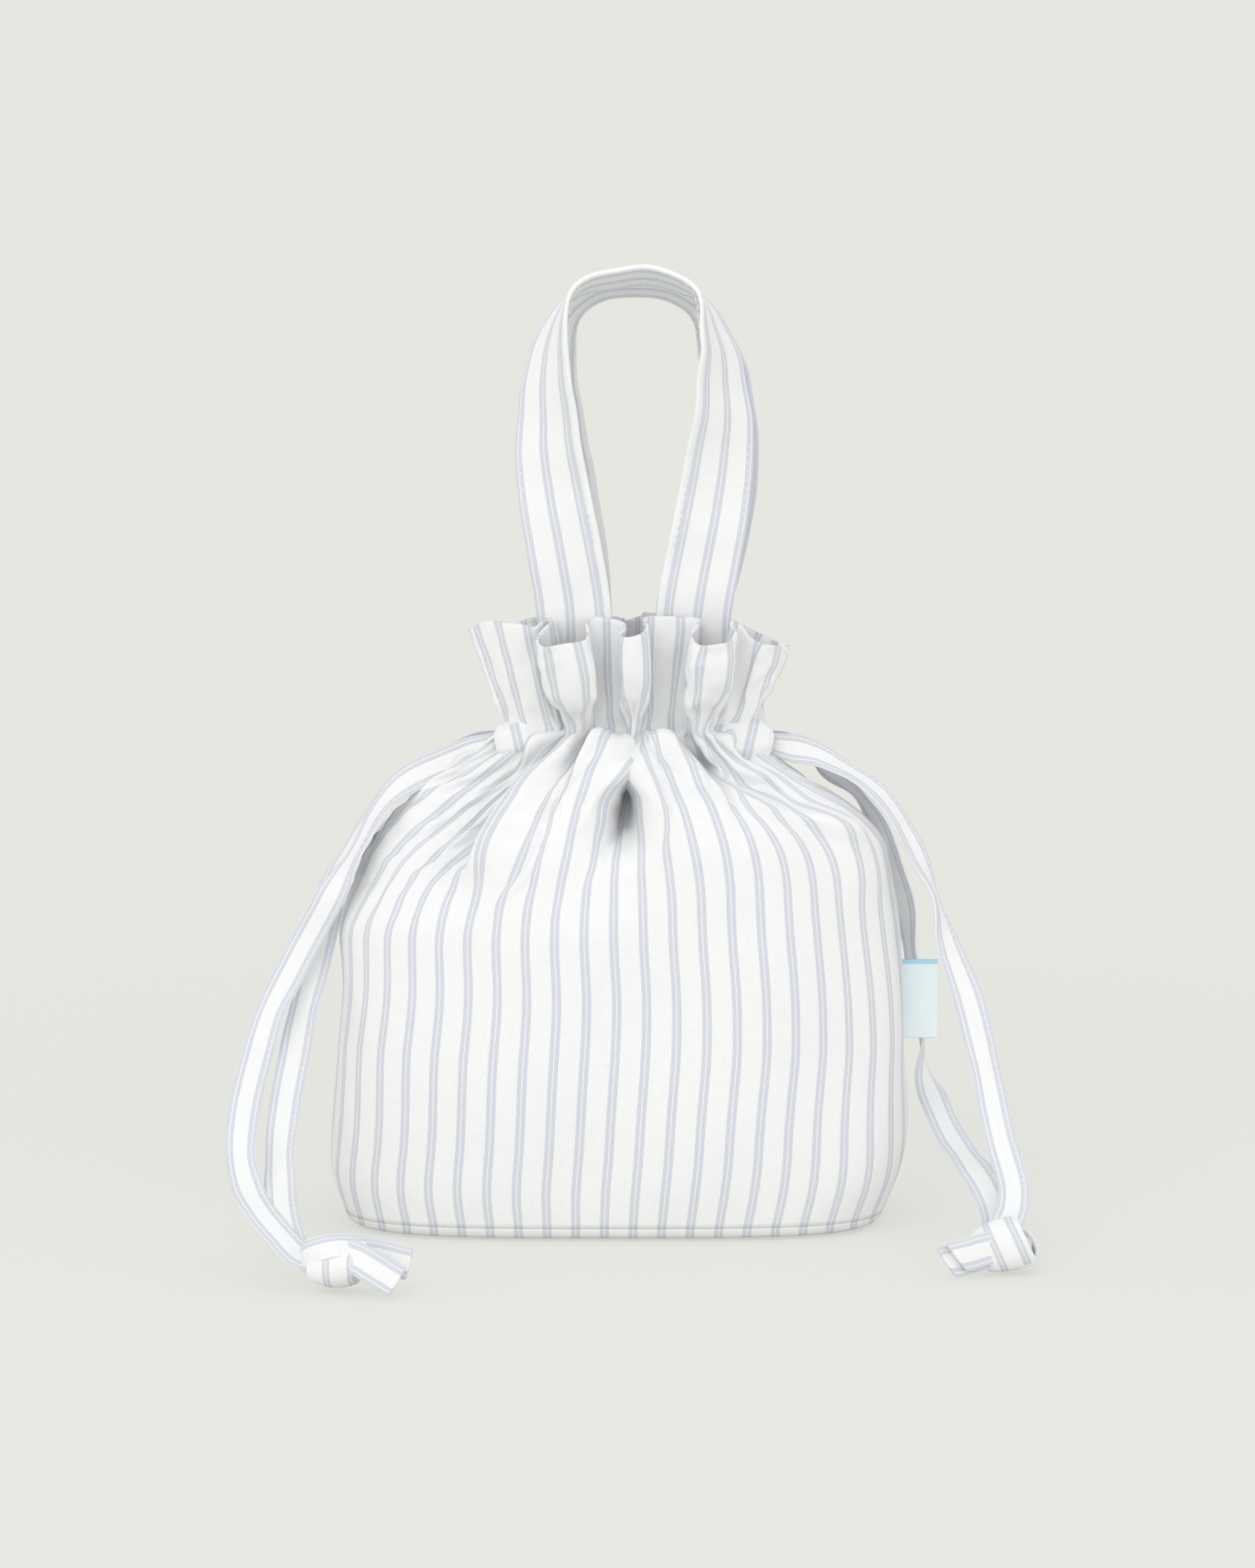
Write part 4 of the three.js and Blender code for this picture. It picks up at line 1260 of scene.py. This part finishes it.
# Path of a casing end: distance from the neck's middle to the side and to the front or back, and height
CUFF_PATH = [(27, 5, 190.0), (33, 9.5, 189.3), (40, 11.6, 187.8), (47, 12.0, 186.2), (53, 12.0, 184.8)]
CUFF_POINTS = 24
CUFF_HALF_HEIGHT = 8.8
CUFF_HALF_DEPTH = 6.6
CUFF_THICKNESS = 1.0
CUFF_RING = 28
CUFF_SHIFT = 3.0


def tube_form(line, width_way, half_height, half_depth, thickness, shift):
    """Open tube of cloth with a rolled lip at its last end."""
    ring = CUFF_RING
    turn = np.arange(ring) * 2 * math.pi / ring
    tangent = unit(np.gradient(line, axis=0))
    depth_way = unit(np.cross(tangent, width_way))
    up = unit(np.cross(depth_way, tangent))
    along = length_along(line)
    last = len(line) - 1
    stations = [(k, 0.0, 0.0) for k in range(len(line))]
    stations += [(last, 0.35, -0.25), (last, 0.35, -0.75), (last, 0.0, -1.0)]
    stations += [(k, 0.0, -1.0) for k in range(last - 1, 1, -1)]
    rows, places = [], []
    for k, forward, step in stations:
        closing = max(0.0, (k / last - 0.64) / 0.36)
        grown = 0.45 + 0.55 * eased(k / (0.45 * last)) - 0.46 * (1 - math.sqrt(1 - closing ** 2))
        height = half_height * grown + step * thickness
        depth = half_depth * grown + step * thickness
        crumple = 1 + 0.07 * np.sin(3 * turn + 0.22 * along[k]) + 0.06 * np.sin(7 * turn - 0.15 * along[k])
        loop = line[k] + tangent[k] * forward
        rows.append(loop + up[k] * (height * crumple * np.sin(turn))[:, None]
                    + depth_way[k] * (depth * crumple * np.cos(turn))[:, None])
        places.append(np.column_stack([np.full(ring, along[k] + shift), turn * half_height, np.zeros(ring)]))
    faces = grid_faces(len(rows), ring, closed=True)
    return np.vstack(rows), faces, np.vstack(places)


def make_casing():
    cotton = finish_named("double_striped_cotton")
    for side in (FRONT, BACK):
        name = SIDE_NAMES[side]
        reach = np.linspace(-0.82, 0.82, FACING_POINTS)
        wave = 0.7 * np.sin(np.linspace(0, 40, FACING_POINTS))
        y = side * (11.8 - 0.8 * np.abs(reach) ** 6 + 0.2 * wave)
        line = np.column_stack([NECK_X + 38 * reach, y, CINCH_Z - 6 + 0.3 * wave])
        facing = band_form(line, np.tile(UPRIGHT, (FACING_POINTS, 1)), FACING_SECTION)
        piece = add_piece(f"{name}_casing_facing", *facing, cotton)
        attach(piece, f"{name}_collar")
        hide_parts(f"{name}_casing", f"left_drawstring_{name}_run", f"right_drawstring_{name}_run")
        for hand in (LEFT, RIGHT):
            path = [(NECK_X + hand * out, side * away, z) for out, away, z in CUFF_PATH]
            tube = even_steps(smooth_path(path, 80), CUFF_POINTS)
            cuff = tube_form(tube, np.tile(UPRIGHT, (CUFF_POINTS, 1)), CUFF_HALF_HEIGHT, CUFF_HALF_DEPTH,
                             CUFF_THICKNESS, CUFF_SHIFT)
            end = add_piece(f"{name}_{HAND_NAMES[hand]}_casing_end", *cuff, cotton)
            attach(end, f"{name}_collar")
            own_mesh(end)


# Label

LABEL_EDGE = 110.5
LABEL_REACH = 14.6
LABEL_LOW = 68.6
LABEL_HEIGHT = 31.0
LABEL_ROWS = 24
LABEL_THICKNESS = 0.25


def make_label():
    """Ribbon folded in half over a rounded end, with both ends caught in the seam."""
    edge, fold = LABEL_EDGE, LABEL_EDGE + LABEL_REACH
    outline = [
        (edge - 0.6, -0.4), (edge + 0.8, -0.5), (edge + 4, -0.85), (edge + 9, -0.95), (edge + 13, -0.75),
        (fold - 0.25, -0.45), (fold, 0.0), (fold - 0.25, 0.45),
        (edge + 13, 0.65), (edge + 9, 0.55), (edge + 4, 0.45), (edge + 0.8, 0.35), (edge - 0.6, 0.3),
    ]
    line = even_steps(smooth_path(np.array(outline), 300), 60)
    along = length_along(line)
    points, places = [], []
    for r in range(LABEL_ROWS + 1):
        share = r / LABEL_ROWS
        up = LABEL_HEIGHT * r / LABEL_ROWS
        curl = 0.35 * math.sin(math.pi * share) + 0.5 * share ** 3
        sway = curl * np.clip((line[:, 0] - edge) / LABEL_REACH, 0, 1) ** 1.5
        points.append(np.column_stack([line[:, 0], line[:, 1] - sway, np.full(len(line), LABEL_LOW + up)]))
        places.append(np.column_stack([np.full(len(line), up), along, np.zeros(len(line))]))
    faces = grid_faces(LABEL_ROWS + 1, len(line))
    satin = finish_named("label_satin")
    piece = add_piece("side_label_ribbon", np.vstack(points), faces, np.vstack(places), satin)
    thicken(piece, LABEL_THICKNESS, offset=0)
    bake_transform(piece)
    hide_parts("side_label")


# Stage

FLOOR_REACH = 12.0
FLOOR_DROP = 0.0005
ROOM_LIGHT = (0.74, 0.745, 0.755, 1)
CAMERA_PLACE = (0.0035, -1.25, 0.278)
CAMERA_TURN = 85
CAMERA_SENSOR = 36
CAMERA_LENS = 73.76

# Square lamps in metres and watts: name, place, target, size and power
BAG_MIDDLE = (0, 0, 0.16)
LAMPS = [
    ("key_lamp", (-0.65, -1.3, 1.25), BAG_MIDDLE, 1.2, 7.3),
    ("fill_lamp", (1.2, -0.9, 0.6), BAG_MIDDLE, 1.0, 3.7),
    ("side_lamp", (-1.3, -0.5, 0.45), BAG_MIDDLE, 1.0, 2.1),
    ("front_lamp", (0.1, -1.9, 0.35), (0, 0, 0.1), 1.4, 4.3),
    ("top_lamp", (0.1, 0.25, 1.5), BAG_MIDDLE, 0.9, 1.7),
]


def add_lamp(name, place, target, size, power):
    lamp = bpy.data.objects.new(name, bpy.data.lights.new(name, "AREA"))
    lamp.data.shape = "SQUARE"
    lamp.data.size = size
    lamp.data.energy = power
    bpy.context.scene.collection.objects.link(lamp)
    lamp.location = place
    way = np.array(target) - np.array(place)
    level = math.hypot(way[0], way[1])
    lamp.rotation_euler = (math.atan2(level, -way[2]), 0, math.atan2(-way[0], way[1]))


def make_stage(sizes):
    scene = bpy.context.scene
    scene.view_settings.view_transform = "Standard"
    floor_mesh = bpy.data.meshes.new("floor")
    reach = FLOOR_REACH
    corners = [(-reach, -reach, 0), (reach, -reach, 0), (reach, reach, 0), (-reach, reach, 0)]
    floor_mesh.from_pydata(corners, [], [(0, 1, 2, 3)])
    floor_mesh.materials.append(finish_named("pale_floor"))
    floor = bpy.data.objects.new("floor", floor_mesh)
    floor.location = (0, 0, -FLOOR_DROP)
    scene.collection.objects.link(floor)
    world = bpy.data.worlds.new("soft_room")
    world.use_nodes = True
    scene.world = world
    tree = world.node_tree
    back = tree.nodes["Background"]
    rays = tree.nodes.new("ShaderNodeLightPath")
    mix = tree.nodes.new("ShaderNodeMix")
    mix.data_type = "RGBA"
    mix.inputs[6].default_value = ROOM_LIGHT
    mix.inputs[7].default_value = solid(sizes.backdrop_colour)
    tree.links.new(rays.outputs["Is Camera Ray"], mix.inputs[0])
    tree.links.new(mix.outputs[2], back.inputs["Color"])
    for lamp in LAMPS:
        add_lamp(*lamp)
    camera = bpy.data.objects.new("photo_camera", bpy.data.cameras.new("photo_camera"))
    camera.location = CAMERA_PLACE
    camera.rotation_euler = (math.radians(CAMERA_TURN), 0, 0)
    camera.data.sensor_width = CAMERA_SENSOR
    camera.data.lens = CAMERA_LENS
    scene.collection.objects.link(camera)
    scene.camera = camera


# Add-on

def length_property(name, description, default):
    return bpy.props.FloatProperty(
        name=name, description=description, default=default, min=0, unit="LENGTH", precision=5)


def colour_property(name, description, default):
    return bpy.props.FloatVectorProperty(
        name=name, description=description, default=default, min=0, max=1, size=3, subtype="COLOR")


class CoolerBagSettings(bpy.types.PropertyGroup):
    """Sizes and colours that a user would change."""

    stripe_pitch: length_property("Stripe pitch", "Distance from one pair of lines to the next", 0.0115)
    line_spacing: length_property("Line spacing", "Distance between the two lines of a pair", 0.0020)
    line_width: length_property("Line width", "Width of one line", 0.0016)
    label_height: length_property("Label height", "Height of the side label", 0.031)
    cotton_colour: colour_property("Cotton", "Colour of the white cotton", (0.885, 0.885, 0.88))
    cotton_shade: colour_property("Cotton shade", "Deeper tone in the white cotton", (0.82, 0.825, 0.825))
    stripe_colour: colour_property("Stripe", "Colour of the lines", (0.60, 0.615, 0.675))
    thread_colour: colour_property("Thread", "Colour of the sewing thread", (0.86, 0.86, 0.85))
    label_colour: colour_property("Label", "Ground colour of the label", (0.78, 0.89, 0.92))
    label_border: colour_property("Label border", "Line along the label's upper edge", (0.33, 0.66, 0.80))
    foam_colour: colour_property("Foam", "Colour of the insulation", (0.80, 0.79, 0.75))
    foil_colour: colour_property("Foil", "Colour of the foil lining", (0.68, 0.70, 0.73))
    backdrop_colour: colour_property("Backdrop", "Colour of floor and background", (0.791, 0.799, 0.753))


class COOLERBAG_OT_stage(bpy.types.Operator):
    """Set up the floor, the soft light and the camera"""

    bl_idname = "cooler_bag.stage"
    bl_label = "Stage"

    def execute(self, context):
        make_stage(context.scene.cooler_bag)
        return {"FINISHED"}


class COOLERBAG_OT_drawstrings(bpy.types.Operator):
    """Lay the four free tapes and tie their two knots"""

    bl_idname = "cooler_bag.drawstrings"
    bl_label = "Drawstrings"

    def execute(self, context):
        make_drawstrings()
        return {"FINISHED"}


class COOLERBAG_OT_cloth(bpy.types.Operator):
    """Gather the front and back cloth into the ruffled neck"""

    bl_idname = "cooler_bag.cloth"
    bl_label = "Gathered cloth"

    def execute(self, context):
        make_cloth()
        return {"FINISHED"}


class COOLERBAG_OT_base(bpy.types.Operator):
    """Close the bag with its base cloth"""

    bl_idname = "cooler_bag.base"
    bl_label = "Base"

    def execute(self, context):
        make_base()
        return {"FINISHED"}


class COOLERBAG_OT_inner_layers(bpy.types.Operator):
    """Line the bag with foam and foil"""

    bl_idname = "cooler_bag.inner_layers"
    bl_label = "Inner layers"

    def execute(self, context):
        make_inner_layers()
        return {"FINISHED"}


class COOLERBAG_OT_casing(bpy.types.Operator):
    """Add the casing that holds the drawstrings and its four open ends"""

    bl_idname = "cooler_bag.casing"
    bl_label = "Casing"

    def execute(self, context):
        make_casing()
        return {"FINISHED"}


class COOLERBAG_OT_handles(bpy.types.Operator):
    """Sew the two strap handles in"""

    bl_idname = "cooler_bag.handles"
    bl_label = "Handles"

    def execute(self, context):
        make_handles()
        return {"FINISHED"}


class COOLERBAG_OT_label(bpy.types.Operator):
    """Fold the side label"""

    bl_idname = "cooler_bag.label"
    bl_label = "Side label"

    def execute(self, context):
        make_label()
        return {"FINISHED"}


STEPS = ("stage", "drawstrings", "cloth", "base", "inner_layers", "casing", "handles", "label")


class COOLERBAG_PT_panel(bpy.types.Panel):
    """Buttons and settings of the bag"""

    bl_idname = "COOLERBAG_PT_panel"
    bl_label = "Cooler bag"
    bl_space_type = "VIEW_3D"
    bl_region_type = "UI"
    bl_category = "Cooler bag"

    def draw(self, context):
        for step in STEPS:
            self.layout.operator(f"cooler_bag.{step}")
        for key in CoolerBagSettings.__annotations__:
            self.layout.prop(context.scene.cooler_bag, key)


CLASSES = (
    CoolerBagSettings,
    COOLERBAG_OT_stage,
    COOLERBAG_OT_drawstrings,
    COOLERBAG_OT_cloth,
    COOLERBAG_OT_base,
    COOLERBAG_OT_inner_layers,
    COOLERBAG_OT_casing,
    COOLERBAG_OT_handles,
    COOLERBAG_OT_label,
    COOLERBAG_PT_panel,
)


def register():
    for item in CLASSES:
        bpy.utils.register_class(item)
    bpy.types.Scene.cooler_bag = bpy.props.PointerProperty(type=CoolerBagSettings)


def unregister():
    del bpy.types.Scene.cooler_bag
    for item in reversed(CLASSES):
        bpy.utils.unregister_class(item)


def main():
    register()
    for step in STEPS:
        getattr(bpy.ops.cooler_bag, step)()


if __name__ == "__main__":
    main()
